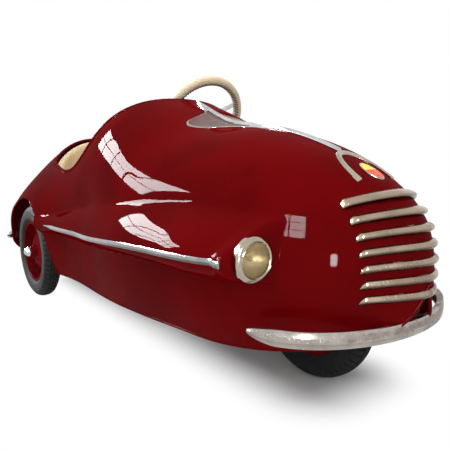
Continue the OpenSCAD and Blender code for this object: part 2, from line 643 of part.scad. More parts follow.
// Steering column: runs down and forward from the wheel
wheel_e = -588;
wheel_up = 601;
col_long = 400;
function down(l) = [wheel_x, y_at(wheel_e) - l * sin(column_tilt), wheel_up - l * cos(column_tilt)];
drop_way = [0, cos(column_tilt), -sin(column_tilt)];
hoop_e = -300;
hoop_half = 150;
hoop_l = (hoop_e - wheel_e) / sin(column_tilt);
hoop_r = 10;
bush_r = 14;
hoop_z = down(hoop_l).z - bush_r / sin(column_tilt) - hoop_r + 1;
link_r = 5;
link_ahead = 11;
link_below = 30;
link_at = down(col_long + link_ahead) + link_below * drop_way;
link_e = front_y - link_at.y;
link_z = link_at.z;
guide_x = [-64, 178];
guide_w = 12;
module column_hoop() {
    color(black) difference() {
        union() {
            for (s = [-1, 1])
                rod([s * rail_x, y_at(hoop_e), rail_top - 5], [s * hoop_half, y_at(hoop_e), hoop_z], hoop_r);
            cross_rod(-hoop_half - 12, guide_x[1] + 10, hoop_e, hoop_z, hoop_r + 1);
            rod(down(hoop_l - 18), down(hoop_l + 18), bush_r);
            for (x = guide_x) {
                rod([x, y_at(hoop_e), hoop_z], [x, y_at(link_e), link_z], link_r);
                cross_rod(x - guide_w / 2, x + guide_w / 2, link_e, link_z, link_r + 4);
            }
        }
        rod(down(hoop_l - 40), down(hoop_l + 40), column_r + running_gap);
        block(-rail_x - rail_w, rail_x + rail_w, hoop_e - rail_w, hoop_e + rail_w, rail_low, rail_top);
        cross_rod(guide_x[0] - 20, guide_x[1] + 20, link_e, link_z, link_r + running_gap);
    }
}

// Crank bracket, clamped on the front cross tube
bb_half = 30;
bb_r = 18;
bb_strut_x = 20;
bb_strut_r = 9;
clamp_t = 4;
module crank_bracket() {
    color(black) difference() {
        union() {
            cross_rod(-bb_half, bb_half, front_cross_e, cross_z, tube_r + clamp_t);
            cross_rod(-bb_half, bb_half, -crank_back, crank_z, bb_r);
            for (s = [-1, 1])
                rod([s * bb_strut_x, y_at(front_cross_e), cross_z], [s * bb_strut_x, y_at(-crank_back), crank_z],
                    bb_strut_r);
        }
        cross_rod(-bb_half - 5, bb_half + 5, front_cross_e, cross_z, tube_r);
        cross_rod(-bb_half - 5, bb_half + 5, -crank_back, crank_z, axle_d / 2 + running_gap);
    }
}

floor_half = 258;
floor_front = -560;
floor_back = -1178;
module floor_pan() {
    color(black) block(-floor_half, floor_half, floor_back, floor_front, rail_top, rail_top + floor_t);
}

block_long = 44;
block_w = 26;
module axle_blocks() {
    color(black) for (s = [-1, 1]) difference() {
        union() {
            block(s * rail_x - block_w / 2, s * rail_x + block_w / 2, rear_e - block_long / 2, rear_e + block_long / 2,
                wheel_z, rail_low);
            cross_rod(s * rail_x - block_w / 2, s * rail_x + block_w / 2, rear_e, wheel_z, block_long / 2);
        }
        cross_rod(s * rail_x - block_w, s * rail_x + block_w, rear_e, wheel_z, axle_d / 2 + running_gap);
    }
}

// Wheels: local Z points outward
tyre_deep = 30;
tyre_p = 2.4;
flange_t = 2;
barrel_half = 19;
barrel_r = rim_d / 2 - 5;
module wheel_place(x, e) { translate([x, y_at(e), wheel_z]) rotate([0, x < 0 ? -90 : 90, 0]) children(); }
module tyre() {
    mid = wheel_z - tyre_deep;
    function round_to(v) = sign(v) * pow(abs(v), 2 / tyre_p);
    color("#1c1c1d") rotate_extrude() difference() {
        polygon([for (a = [0:7.5:352.5]) [mid + tyre_deep * round_to(cos(a)), tyre_w / 2 * round_to(sin(a))]]);
        translate([0, -tyre_w]) square([barrel_r, 2 * tyre_w]);
        for (z = [-barrel_half - flange_t, barrel_half]) translate([0, z]) square([rim_d / 2, flange_t]);
        for (z = [-9, 0, 9]) translate([wheel_z - 2, z - 1.2]) square([tyre_deep, 2.4]);
    }
}
module tyre_front() { wheel_place(0, 0) tyre(); }
module tyre_right() { wheel_place(-rear_x, rear_e) tyre(); }
module tyre_left() { wheel_place(rear_x, rear_e) tyre(); }

hub_r = 20;
hub_half = 31.5;
front_hub_half = 36.5;
bolts = 5;
module rim(half, bore) {
    edge = barrel_half + flange_t;
    color("#7d1a20") difference() {
        union() {
            rotate_extrude() polygon([[barrel_r, -barrel_half], [rim_d / 2, -barrel_half], [rim_d / 2, -edge],
                [barrel_r - 5, -edge], [barrel_r - 5, edge], [rim_d / 2, edge], [rim_d / 2, barrel_half],
                [barrel_r, barrel_half]]);
            rotate_extrude() polygon([[hub_r - 5, 8], [34, 12], [50, 8], [72, -4], [88, -10], [barrel_r - 4, -11],
                [barrel_r - 4, -15], [88, -14], [72, -8], [50, 4], [34, 8], [hub_r - 5, 4]]);
            translate([0, 0, -half]) cylinder(h = 2 * half, r = hub_r);
            for (k = [0:bolts - 1]) rotate([0, 0, 360 * k / bolts]) translate([36, 0, 4]) cylinder(h = 11, r = 5);
        }
        translate([0, 0, -half - 1]) cylinder(h = 2 * half + 2, r = bore);
    }
}
module rim_front() { wheel_place(0, 0) rim(front_hub_half, front_axle_d / 2 + running_gap); }
module rim_right() { wheel_place(-rear_x, rear_e) rim(hub_half, axle_d / 2); }
module rim_left() { wheel_place(rear_x, rear_e) rim(hub_half, axle_d / 2 + running_gap); }

cap_r = 17;
cap_h = 20;
module hub_cap(s) {
    end = hub_half + (s > 0 ? seat_gap : 0);
    color(chrome) wheel_place(s * rear_x, rear_e) translate([0, 0, end]) rotate_extrude()
        polygon([[axle_d / 2, 0], [cap_r, 0], [cap_r, 4], [cap_r - 1, 7], [cap_r - 4, 11], [cap_r - 5, 13],
            [cap_r - 8, 17], [cap_r - 12, cap_h - 1], [0, cap_h], [0, cap_h / 2], [axle_d / 2, cap_h / 2]]);
}
module hub_cap_right() { hub_cap(-1); }
module hub_cap_left() { hub_cap(1); }

collar_r = 12;
module rear_axle() {
    near = rear_x + hub_half + cap_h / 2;
    from = rail_x + block_w / 2 + seat_gap;
    to = rear_x - hub_half;
    color("#9a9c9e") {
        cross_rod(-near, near + seat_gap, rear_e, wheel_z, axle_d / 2);
        cross_rod(from, to - seat_gap, rear_e, wheel_z, collar_r);
        cross_rod(-to, -from, rear_e, wheel_z, collar_r);
    }
}

// Chain drive in one plane right of the centre
chain_x = -45;
function pitch_r(n) = chain_pitch / (2 * sin(180 / n));
module sprocket(n, hub, bore) {
    root = pitch_r(n) - 4;
    tip = pitch_r(n) + 3;
    color("#5d5f61") rotate([0, 90, 0]) difference() {
        union() {
            translate([0, 0, -1.5]) linear_extrude(3)
                polygon([for (k = [0:n - 1], c = [[-0.16, root], [0.16, root], [0.4, tip], [0.6, tip]])
                    c[1] * [cos(360 * (k + c[0]) / n), sin(360 * (k + c[0]) / n)]]);
            translate([0, 0, -6]) cylinder(h = 12, r = hub);
        }
        translate([0, 0, -7]) cylinder(h = 14, r = bore);
    }
}
module rear_sprocket() { translate([chain_x, y_at(rear_e), wheel_z]) sprocket(sprocket_teeth, 14, axle_d / 2); }
module chain_ring() { translate([chain_x, y_at(-crank_back), crank_z]) sprocket(ring_teeth, 15, axle_d / 2); }

// Flat loop round both sprockets, offset from their pitch circles
module chain_loop(off) {
    a = [y_at(-crank_back), crank_z];
    b = [y_at(rear_e), wheel_z];
    d = (b - a) / norm(b - a);
    lean = asin((pitch_r(ring_teeth) - pitch_r(sprocket_teeth)) / norm(b - a));
    function arc(c, r, from, sweep) = [for (k = [0:arc_steps]) let (t = from + sweep * k / arc_steps)
        c + (r + off) * (cos(t) * d + sin(t) * [-d.y, d.x])];
    polygon(concat(arc(a, pitch_r(ring_teeth), 90 - lean, 180 + 2 * lean),
        arc(b, pitch_r(sprocket_teeth), 270 + lean, 180 - 2 * lean)));
}
arc_steps = 28;
module chain_band(x, w, low, high) {
    translate([x, 0, 0]) rotate([90, 0, 90]) linear_extrude(w) difference() {
        chain_loop(high);
        chain_loop(low);
    }
}
module chain() {
    color("#6a6560") difference() {
        chain_band(chain_x - chain_w / 2, chain_w, -chain_deep, chain_deep);
        chain_band(chain_x - chain_slot / 2, chain_slot, -chain_deep - 1, chain_deep - chain_web);
    }
}
chain_w = 8;
chain_slot = 4;
chain_deep = 4.2;
chain_web = 1;

// Fork, with its steering arm above the head
crown_z = 345;
crown_half = 55;
leg_x = 47;
leg_r = 7.5;
boss_r = 15;
boss_from = 39;
steerer_top = 460;
arm_z = 450;
arm_half = 14;
arm_t = 6;
pin_r = 5;
fork_slot_gap = 1;
fork_turn = 26;
slot_from = fork_arm - 1;
slot_to = fork_arm / cos(fork_turn) + 1;
module fork() {
    crown_h = 20;
    rise_to_head = (head_low - crown_z) / cos(rake);
    color(black) difference() {
        union() {
            on_axis(crown_z) translate([-crown_half, -12, -crown_h / 2]) cube([2 * crown_half, 24, crown_h]);
            on_axis(crown_z) cylinder(h = (steerer_top - crown_z) / cos(rake), r = steerer_r);
            on_axis(crown_z) cylinder(h = rise_to_head - seat_gap, r = head_r - 1);
            for (s = [-1, 1]) {
                rod([s * leg_x, y_at(axis_e(crown_z)), crown_z], [s * leg_x, y_at(0), wheel_z], leg_r);
                cross_rod(s > 0 ? boss_from : -crown_half, s > 0 ? crown_half : -boss_from, 0, wheel_z, boss_r);
            }
            on_axis(arm_z) translate([-arm_half, 0, -arm_t / 2]) cube([2 * arm_half, slot_to, arm_t]);
            on_axis(arm_z) translate([0, 0, -arm_t / 2]) cylinder(h = arm_t, r = head_r);
            on_axis(arm_z) translate([0, slot_to, -arm_t / 2]) cylinder(h = arm_t, r = arm_half);
        }
        on_axis(arm_z) translate([-pin_r - fork_slot_gap, slot_from, -arm_t])
            cube([2 * (pin_r + fork_slot_gap), slot_to - slot_from, 2 * arm_t]);
        on_axis(arm_z) for (y = [slot_from, slot_to])
            translate([0, y, -arm_t]) cylinder(h = 2 * arm_t, r = pin_r + fork_slot_gap);
        cross_rod(-crown_half - 1, crown_half + 1, 0, wheel_z, front_axle_d / 2);
    }
}

module front_axle() {
    half = crown_half + 8;
    color("#9a9c9e") {
        cross_rod(-half, half, 0, wheel_z, front_axle_d / 2);
        for (s = [-1, 1]) {
            translate([s > 0 ? crown_half : -crown_half - 6, y_at(0), wheel_z]) rotate([0, 90, 0])
                cylinder(h = 6, r = 11, $fn = 6);
            cross_rod(s > 0 ? front_hub_half + seat_gap : -boss_from, s > 0 ? boss_from : -front_hub_half - seat_gap,
                0, wheel_z, 10);
        }
    }
}

// Local Z runs down the column, and local -Y points the way its crank hangs
module on_column(l) { translate(down(l)) rotate([180 - column_tilt, 0, 0]) children(); }
col_crank_t = 8;
col_pin_h = 12;
col_start = -6;
module steering_column() {
    color("#9a9c9e") {
        rod(down(col_start), down(col_long), column_r);
        rod(down(hoop_l - 26), down(hoop_l - 18 - seat_gap), column_r + 4);
        rod(down(hoop_l + 18 + seat_gap), down(hoop_l + 26), column_r + 4);
        on_column(col_long) {
            translate([-10, -drop_arm, -col_crank_t]) cube([20, drop_arm, col_crank_t]);
            for (y = [0, -drop_arm]) translate([0, y, -col_crank_t]) cylinder(h = col_crank_t, r = 12);
            translate([0, -drop_arm, 0]) cylinder(h = col_pin_h, r = pin_r);
        }
    }
}
module steering_grip() {
    color(cream) on_column(0) rotate_extrude() translate([wheel_r - grip_r, 0]) circle(r = grip_r);
}
spoke_w = 14;
spoke_t = 5;
module steering_spokes() {
    color(chrome) difference() {
        on_column(0) {
            rotate([0, 0, 45]) translate([0, 0, -12]) cylinder(h = 24, r = 20);
            for (a = [30, 150, 270]) rotate([0, 0, a]) intersection() {
                translate([10, -spoke_w / 2, -spoke_t / 2]) cube([wheel_r, spoke_w, spoke_t]);
                translate([0, 0, -spoke_t]) cylinder(h = 2 * spoke_t, r = wheel_r - 2 * grip_r);
            }
        }
        rod(down(col_start), down(col_long), column_r);
    }
}

// Sliding link from the column's crank to the fork's arm
yoke_gap = 0.9;
yoke_at = 3;
yoke_t = 6;
yoke_half = 14;
col_turn = 36;
link_ends = [-120, 236];
lug_drop = 14;
module cross_link() {
    near = drop_arm * cos(col_turn) - 1;
    far = drop_arm + 1;
    low = [0, y_at(axis_e(arm_z)), arm_z] + fork_arm * [0, cos(rake), -sin(rake)];
    up = [0, sin(rake), cos(rake)];
    color("#9a9c9e") {
        cross_rod(link_ends[0], link_ends[1], link_e, link_z, link_r);
        difference() {
            on_column(col_long) translate([-yoke_half, -far - pin_r - 8, yoke_at])
                cube([2 * yoke_half, far + pin_r + 8 - link_below + link_r, yoke_t]);
            on_column(col_long) translate([-pin_r - yoke_gap, -far, yoke_at - 1])
                cube([2 * (pin_r + yoke_gap), far - near, yoke_t + 2]);
            on_column(col_long) for (y = [near, far]) translate([0, -y, yoke_at - 1])
                cylinder(h = yoke_t + 2, r = pin_r + yoke_gap);
        }
        rod([0, y_at(link_e), link_z], low - lug_drop * up, pin_r + 1);
        rod(low - (lug_drop + 3) * up, low + 8 * up, pin_r);
    }
}

crank_half = 66;
arm_x = 60;
pedal_from = 70;
pedal_to = 150;
module crank() {
    color("#9a9c9e") {
        cross_rod(-crank_half, crank_half, -crank_back, crank_z, axle_d / 2);
        for (s = [-1, 1]) {
            e = -crank_back - s * crank_arm;
            block(s * arm_x - 5, s * arm_x + 5, min(e, -crank_back), max(e, -crank_back), crank_z - 9, crank_z + 9);
            cross_rod(s * arm_x - 5, s * arm_x + 5, -crank_back, crank_z, 13);
            cross_rod(s * arm_x - 5, s * arm_x + 5, e, crank_z, 11);
            cross_rod(s > 0 ? arm_x : -pedal_to - 6, s > 0 ? pedal_to + 6 : -arm_x, e, crank_z, pin_r);
            cross_rod(s > 0 ? pedal_to + 0.6 : -pedal_to - 6, s > 0 ? pedal_to + 6 : -pedal_to - 0.6, e, crank_z, 8);
        }
    }
}
module pedal(s) {
    e = -crank_back - s * crank_arm;
    color("#1c1c1d") difference() {
        block(s > 0 ? pedal_from : -pedal_to, s > 0 ? pedal_to : -pedal_from, e - 30, e + 30, crank_z - 11, crank_z + 11);
        cross_rod(s * 110 - 60, s * 110 + 60, e, crank_z, pin_r + running_gap);
    }
}
module pedal_right() { pedal(-1); }
module pedal_left() { pedal(1); }

// Upholstery: forms with a crown, drawn-in sides and stitched channels
pad_inset = 8;
function pad_line(u) = let (v = u <= rim_n ? u : 2 * rim_n - u, q = rim_at(v), p = body_point(q[0], q[1]))
    [u <= rim_n ? p.x : -p.x, p.y, p.z];
function pad_normal(u) = let (d = pad_line(u + 0.15) - pad_line(u - 0.15), l = norm([d.x, d.y])) [d.y / l, -d.x / l];
pad_from_e = -664;
pad_panels = 5;
panel_rows = 14;
module seat_back() {
    u0 = rim_place(pad_from_e);
    span = 2 * (rim_n - u0);
    n = panel_rows * pad_panels;
    base = rail_top + floor_t + seat_gap;
    function ring(i) = let (u = u0 + span * i / n, p = pad_line(u), q = pad_normal(u), top = p.z - 8,
        end = min(1, 0.35 + min(i, n - i) / 2), t = pad_t * end * (i % panel_rows == 0 ? 0.8 : 1))
        [for (k = [[0, base], [0, top - 14], [0.15, top - 4], [0.45, top], [0.8, top - 5], [1, top - 18],
            [0.92, (top + base) / 2], [1, base + 30], [0.85, base]])
            [p.x + q.x * (pad_inset + k[0] * t), p.y + q.y * (pad_inset + k[0] * t), k[1]]];
    color(cream) tube([for (i = [n:-1:0]) ring(i)]);
}

cushion_front = -700;
cushion_back = -1096;
cushion_half = 226;
cushion_pleats = 9;
function cushion_w(e) = let (u = rim_place(max(e, rim_e[rear_split + 1] + 1)), p = pad_line(u), q = pad_normal(u))
    min(cushion_half, -p.x - (pad_inset + pad_t + 6) * max(1, 1 / max(0.5, abs(q.x))));
module seat_cushion() {
    n = 16;
    m = 3 * cushion_pleats;
    base = rail_top + floor_t + seat_gap;
    mid = (cushion_front + cushion_back) / 2;
    half = (cushion_front - cushion_back) / 2;
    function ring(i) = let (t = 0.985 * sin(-90 + 180 * i / n), e = mid + half * t, g = pow(1 - pow(abs(t), 6), 1 / 6),
        w = cushion_w(e) * (0.35 + 0.65 * pow(1 - pow(abs(t), 8), 1 / 8)), h = cushion_h * (0.45 + 0.55 * g))
        concat([for (j = [0:m]) let (s = -1 + 2 * j / m, crown = pow(1 - pow(abs(s), 5), 0.4) * (1 - 0.12 * s * s),
            seam = j % 3 == 0 && j > 0 && j < m ? 4 * g : 0)
            [w * s, y_at(e), base + h * (0.5 + 0.5 * crown) - seam]],
            [[w * 1.02, y_at(e), base + h * 0.3], [w * 0.93, y_at(e), base], [-w * 0.93, y_at(e), base],
            [-w * 1.02, y_at(e), base + h * 0.3]]);
    color(cream) tube([for (i = [0:n]) ring(i)]);
}

body_nose();
body_cowl();
body_side_right();
body_side_left();
body_tail();
cockpit_bead();
headlamp_bezel_right();
headlamp_bezel_left();
headlamp_lens_right();
headlamp_lens_left();
headlamp_reflector_right();
headlamp_reflector_left();
side_strip_right();
side_strip_left();
hood_ornament();
horseshoe_trim();
badge_plate();
grille_bar_1();
grille_bar_2();
grille_bar_3();
grille_bar_4();
grille_bar_5();
grille_bar_6();
grille_bar_7();
front_bumper();
front_irons();
rear_bumper();
rear_irons();
rail_right();
rail_left();
cross_front();
cross_rear();
neck();
column_hoop();
crank_bracket();
floor_pan();
axle_blocks();
seat_cushion();
seat_back();
tyre_front();
tyre_right();
tyre_left();
rim_front();
rim_right();
rim_left();
hub_cap_right();
hub_cap_left();
rear_axle();
rear_sprocket();
fork();
front_axle();
steering_column();
steering_grip();
steering_spokes();
cross_link();
crank();
chain_ring();
pedal_right();
pedal_left();
chain();
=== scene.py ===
import math
import bpy
import bmesh
import numpy as np
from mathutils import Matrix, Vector


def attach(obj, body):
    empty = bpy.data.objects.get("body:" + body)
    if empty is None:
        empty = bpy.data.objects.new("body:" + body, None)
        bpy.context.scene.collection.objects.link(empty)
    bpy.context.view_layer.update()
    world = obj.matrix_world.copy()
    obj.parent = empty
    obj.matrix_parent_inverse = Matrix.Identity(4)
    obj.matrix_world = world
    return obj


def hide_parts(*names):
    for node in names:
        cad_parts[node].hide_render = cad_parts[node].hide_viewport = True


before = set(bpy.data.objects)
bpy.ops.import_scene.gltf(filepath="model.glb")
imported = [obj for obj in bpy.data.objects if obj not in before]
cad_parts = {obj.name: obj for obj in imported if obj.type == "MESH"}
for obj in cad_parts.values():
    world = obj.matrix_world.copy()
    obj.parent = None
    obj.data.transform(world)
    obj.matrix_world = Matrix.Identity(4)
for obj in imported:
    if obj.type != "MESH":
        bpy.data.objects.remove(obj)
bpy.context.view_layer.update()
print("frame loaded")


# one socket of a shader, with sums written as plain Python
class Val:
    def __init__(self, mat, socket):
        self.mat = mat
        self.socket = socket

    def math(self, how, *others, swap=False):
        args = [self, *others]
        if swap:
            args = args[::-1]
        return self.mat.add("ShaderNodeMath", {"operation": how}, dict(enumerate(args)))[0]

    def __add__(self, o): return self.math("ADD", o)
    def __radd__(self, o): return self.math("ADD", o)
    def __sub__(self, o): return self.math("SUBTRACT", o)
    def __rsub__(self, o): return self.math("SUBTRACT", o, swap=True)
    def __mul__(self, o): return self.math("MULTIPLY", o)
    def __rmul__(self, o): return self.math("MULTIPLY", o)
    def __truediv__(self, o): return self.math("DIVIDE", o)
    def __rtruediv__(self, o): return self.math("DIVIDE", o, swap=True)
    def __pow__(self, o): return self.math("POWER", o)

    def ramp(self, low, high, a=0.0, b=1.0):
        return self.mat.add("ShaderNodeMapRange", {"interpolation_type": "SMOOTHSTEP"},
                            {0: self, 1: low, 2: high, 3: a, 4: b})[0]


# a material under construction
class Mat:
    def __init__(self, name, **values):
        self.data = bpy.data.materials.new(name)
        self.data.use_nodes = True
        self.tree = self.data.node_tree
        self.shader = self.tree.nodes["Principled BSDF"]
        for key, value in values.items():
            self.set(key.replace("_", " "), value)
        self.coord = self.add("ShaderNodeTexCoord", {}, {})["Object"]

    def link(self, socket, value):
        if isinstance(value, Val):
            self.tree.links.new(value.socket, socket)
        elif isinstance(value, (tuple, list)) and socket.type == "RGBA":
            socket.default_value = (*value[:3], 1)
        else:
            socket.default_value = value

    def add(self, kind, settings, inputs):
        node = self.tree.nodes.new(kind)
        for key, value in settings.items():
            setattr(node, key, value)
        for key, value in inputs.items():
            self.link(node.inputs[key], value)
        return Outs(self, node)

    def set(self, name, value):
        self.link(self.shader.inputs[name], value)

    def noise(self, scale, detail=3, rough=0.5, where=None, kind="FBM"):
        return self.add("ShaderNodeTexNoise", {"noise_type": kind},
                        {"Vector": where or self.coord, "Scale": scale, "Detail": detail,
                         "Roughness": rough})[0]

    def cells(self, scale, feature="F1", where=None, which=0):
        return self.add("ShaderNodeTexVoronoi", {"feature": feature},
                        {"Vector": where or self.coord, "Scale": scale})[which]

    def mix(self, k, a, b):
        return self.add("ShaderNodeMix", {"data_type": "RGBA"}, {0: k, 6: a, 7: b})[2]

    def axes(self):
        out = self.add("ShaderNodeSeparateXYZ", {}, {0: self.coord})
        return out[0], out[1], out[2]

    def bump(self, height, deep, strength=1.0):
        node = self.add("ShaderNodeBump", {}, {"Strength": strength, "Distance": deep, "Height": height})
        self.set("Normal", node["Normal"])

    # ends the material with a shader of its own in place of the Principled one
    def surface(self, shader):
        self.tree.links.new(shader.socket, self.tree.nodes["Material Output"].inputs["Surface"])


class Outs:
    def __init__(self, mat, node):
        self.mat = mat
        self.node = node

    def __getitem__(self, key):
        return Val(self.mat, self.node.outputs[key])


def enamelPaint(name, base, dark, dust=0.5):
    m = Mat(name, Coat_Weight=0.05, Coat_Roughness=0.015, Coat_IOR=1.5, Roughness=0.4,
            Specular_IOR_Level=0.0)
    x, y, z = m.axes()
    cloud = m.noise(5, 4)
    fine = m.noise(60, 3)
    low = z.ramp(0.26, 0.1)
    colour = m.mix(cloud.ramp(0.35, 0.7), base, dark)
    speck = m.cells(150).ramp(0.075, 0.03) * m.noise(11, 2).ramp(0.5, 0.62)
    colour = m.mix(speck * 0.2, colour, (0.24, 0.10, 0.07))
    colour = m.mix(low * fine.ramp(0.35, 0.75) * 0.10 * dust, colour, (0.16, 0.07, 0.055))
    m.set("Base Color", colour)
    m.set("Roughness", 0.36 + fine * 0.1 + low * 0.12)
    m.bump(m.noise(38, 2) + m.noise(420, 2) * 0.05, 0.00016)
    return m.data


# wear is the share of pitting and brown rust, side makes it grow to the left and downward, the band is a worn
# line at a height that also paints a dark reflected line, and under paints shade on what faces the floor
def chromePlate(name, tint=(0.66, 0.66, 0.67), wear=0.0, rough=0.07, side=0.0, wornReflectionBand=None, under=0.0):
    m = Mat(name, Metallic=1.0, IOR=2.5)
    x, y, z = m.axes()
    smear = m.noise(22, 4, 0.6)
    pits = m.cells(330).ramp(0.36, 0.1)
    patch = m.noise(34, 6, 0.7)
    reach = patch + (x * 1.1 - (z - 0.3) * 0.5) * side
    # a worn line at a height, with more rust and pits, that also paints a dark reflected line
    if wornReflectionBand:
        off = (z - wornReflectionBand[0]).math("ABSOLUTE")
        reach = reach + off.ramp(wornReflectionBand[1], wornReflectionBand[1] * 0.3) * wornReflectionBand[2]
    rust = reach.ramp(0.62 - wear * 0.3, 0.80 - wear * 0.3)
    spots = pits * reach.ramp(0.52 - wear * 0.35, 0.72 - wear * 0.35)
    gone = (rust * 0.7 + spots).math("MINIMUM", 1.0) * (1.0 if wear else 0.18)
    rusty = m.mix(m.noise(160, 4).ramp(0.35, 0.7), (0.055, 0.026, 0.014), (0.22, 0.11, 0.055))
    plate = m.mix(smear.ramp(0.3, 0.75), tint, tuple(c * 0.68 for c in tint))
    # painted shade: faces that look down go dark, standing for the dark floor they reflect
    if under:
        facing = m.add("ShaderNodeNewGeometry", {}, {})["Normal"]
        paintedUnderShade = m.add("ShaderNodeSeparateXYZ", {}, {0: facing})[2].ramp(0.12, -0.55)
        plate = m.mix(paintedUnderShade * under, plate, (0.035, 0.022, 0.018))
    m.set("Base Color", m.mix(gone, plate, rusty))
    m.set("Roughness", rough + smear * 0.1 + gone * 0.5)
    m.set("Metallic", 1.0 - gone * 0.6)
    m.bump(m.noise(300, 3) * 0.12 - pits * gone, 0.0004)
    return m.data


# worn old plating whose dark wine red is a painted reflection
def wingReflectionPlate():
    m = Mat("wing_reflection_plate", Metallic=0.5, Specular_IOR_Level=0.2)
    wearAndReflection = m.noise(40, 4, 0.6)
    # painted reflection: the plate's colour is dark wine red, patchy
    colour = m.mix(wearAndReflection.ramp(0.35, 0.7), (0.060, 0.010, 0.010), (0.13, 0.035, 0.028))
    m.set("Base Color", m.mix(m.cells(380).ramp(0.3, 0.1) * 0.5, colour, (0.05, 0.02, 0.015)))
    m.set("Roughness", 0.16 + wearAndReflection * 0.14)
    m.bump(m.noise(260, 3), 0.0003)
    return m.data


def steel(name, base, rough=0.45, metal=0.0, dirt=(0.09, 0.075, 0.06)):
    m = Mat(name, Coat_Weight=0.2, Coat_Roughness=0.3)
    wear = m.noise(34, 5, 0.65)
    colour = m.mix(wear.ramp(0.4, 0.75), base, tuple(c * 1.5 for c in base))
    colour = m.mix(m.noise(12, 4).ramp(0.52, 0.78) * 0.7, colour, dirt)
    m.set("Base Color", colour)
    m.set("Roughness", rough + wear * 0.2)
    m.set("Metallic", metal * (1.0 - m.noise(12, 4).ramp(0.55, 0.8) * 0.8))
    m.bump(wear * 0.5 + m.noise(330, 3) * 0.25, 0.0006)
    return m.data


def leather(name, base, crease):
    m = Mat(name, Specular_IOR_Level=0.42, Sheen_Weight=0.12, Sheen_Roughness=0.45)
    grain = m.cells(620, "DISTANCE_TO_EDGE").ramp(0.0, 0.22)
    folds = m.noise(30, 5, 0.6)
    colour = m.mix(m.noise(9, 4).ramp(0.38, 0.72), base, tuple(c * 0.88 for c in base))
    colour = m.mix((1.0 - grain) * 0.32, colour, crease)
    colour = m.mix(m.noise(75, 5, 0.7).ramp(0.58, 0.8) * 0.28, colour, crease)
    m.set("Base Color", colour)
    m.set("Roughness", 0.42 + folds * 0.2)
    m.bump(grain * 0.35 + folds * 1.2, 0.0007)
    return m.data


def tyreRubber():
    m = Mat("tyre_rubber", Specular_IOR_Level=0.12)
    dustMap = m.noise(18, 5, 0.6)
    fine = m.noise(240, 4, 0.6)
    crack = m.cells(210, "DISTANCE_TO_EDGE").ramp(0.05, 0.0) * m.noise(13, 3).ramp(0.5, 0.65)
    colour = m.mix(dustMap.ramp(0.35, 0.75), (0.0085, 0.009, 0.0095), (0.020, 0.020, 0.019))
    colour = m.mix(fine.ramp(0.5, 0.8) * 0.35, colour, (0.06, 0.057, 0.052))
    m.set("Base Color", m.mix(crack * 0.6, colour, (0.004, 0.004, 0.004)))
    m.set("Roughness", 0.62 + dustMap * 0.25)
    m.bump(fine * 0.4 - crack * 0.5, 0.0005)
    return m.data


def lampGold():
    m = Mat("lamp_bowl", Metallic=1.0)
    bloom = m.noise(30, 5, 0.6)
    colour = m.mix(bloom.ramp(0.35, 0.7), (0.78, 0.67, 0.43), (0.60, 0.49, 0.28))
    m.set("Base Color", m.mix(m.noise(110, 3).ramp(0.6, 0.75) * 0.5, colour, (0.22, 0.15, 0.07)))
    m.set("Roughness", 0.3 + bloom * 0.14)
    m.set("Metallic", 0.62 + bloom * 0.1)
    m.bump(m.noise(160, 3), 0.0003)
    return m.data


def lampGlass():
    m = Mat("lamp_glass", Roughness=0.02)
    clear = m.add("ShaderNodeBsdfTransparent", {}, {"Color": (0.97, 0.95, 0.90)})[0]
    shine = m.add("ShaderNodeBsdfGlossy", {}, {"Roughness": 0.03, "Color": (0.5, 0.5, 0.5)})[0]
    rim = m.add("ShaderNodeFresnel", {}, {"IOR": 1.25})[0]
    haze = m.add("ShaderNodeBsdfDiffuse", {}, {"Color": (0.75, 0.62, 0.38)})[0]
    film = m.noise(26, 4).ramp(0.4, 0.8, 0.03, 0.12)
    body = m.add("ShaderNodeMixShader", {}, {0: film, 1: clear, 2: haze})[0]
    m.surface(m.add("ShaderNodeMixShader", {}, {0: rim, 1: body, 2: shine})[0])
    return m.data


def badgeEnamel():
    m = Mat("badge_enamel", Coat_Weight=0.25, Coat_Roughness=0.05, Roughness=0.3, Specular_IOR_Level=0.1)
    x, y, z = m.axes()
    split = (y + 0.694).ramp(-0.0012, 0.0012)
    flow = m.noise(90, 3)
    amber = m.mix(flow.ramp(0.3, 0.7), (0.86, 0.60, 0.03), (0.90, 0.68, 0.07))
    orange = m.mix(flow.ramp(0.3, 0.7), (0.70, 0.05, 0.012), (0.80, 0.09, 0.02))
    m.set("Base Color", m.mix(split, orange, amber))
    m.bump(flow, 0.0002)
    return m.data


wine = enamelPaint("body_paint", (0.135, 0.0006, 0.0016), (0.098, 0.0005, 0.0012))
wheelRed = enamelPaint("wheel_paint", (0.18, 0.003, 0.005), (0.12, 0.002, 0.004), 1.2)
bright = chromePlate("chrome", rough=0.06)
# under paints shade on the downward faces of the bars, the front bumper and the strips
pitted = chromePlate("bar_chrome", (0.42, 0.32, 0.24), wear=0.42, rough=0.16, side=1.0, under=0.85)
# the front bumper's worn line near its top also paints a dark reflected line
bumperPlate = chromePlate("bumper_chrome", (0.50, 0.46, 0.42), wear=0.42, rough=0.12, side=0.8,
                          wornReflectionBand=(0.186, 0.009, 0.16), under=0.6)
stripPlate = chromePlate("strip_chrome", (0.40, 0.40, 0.40), under=0.95)
lampPlate = chromePlate("lamp_chrome", (0.50, 0.44, 0.35), rough=0.1)
wing = wingReflectionPlate()
frameBlack = steel("frame_steel", (0.022, 0.023, 0.024))
floorGrey = steel("floor_steel", (0.05, 0.05, 0.048), 0.55)
bareSteel = steel("bright_steel", (0.45, 0.45, 0.44), 0.3, 0.9, (0.2, 0.13, 0.08))
chainSteel = steel("chain_steel", (0.16, 0.15, 0.14), 0.35, 0.8, (0.09, 0.05, 0.03))
creamSeat = leather("seat_leather", (0.86, 0.66, 0.38), (0.38, 0.26, 0.14))
creamGrip = leather("grip_leather", (0.90, 0.75, 0.50), (0.42, 0.30, 0.18))
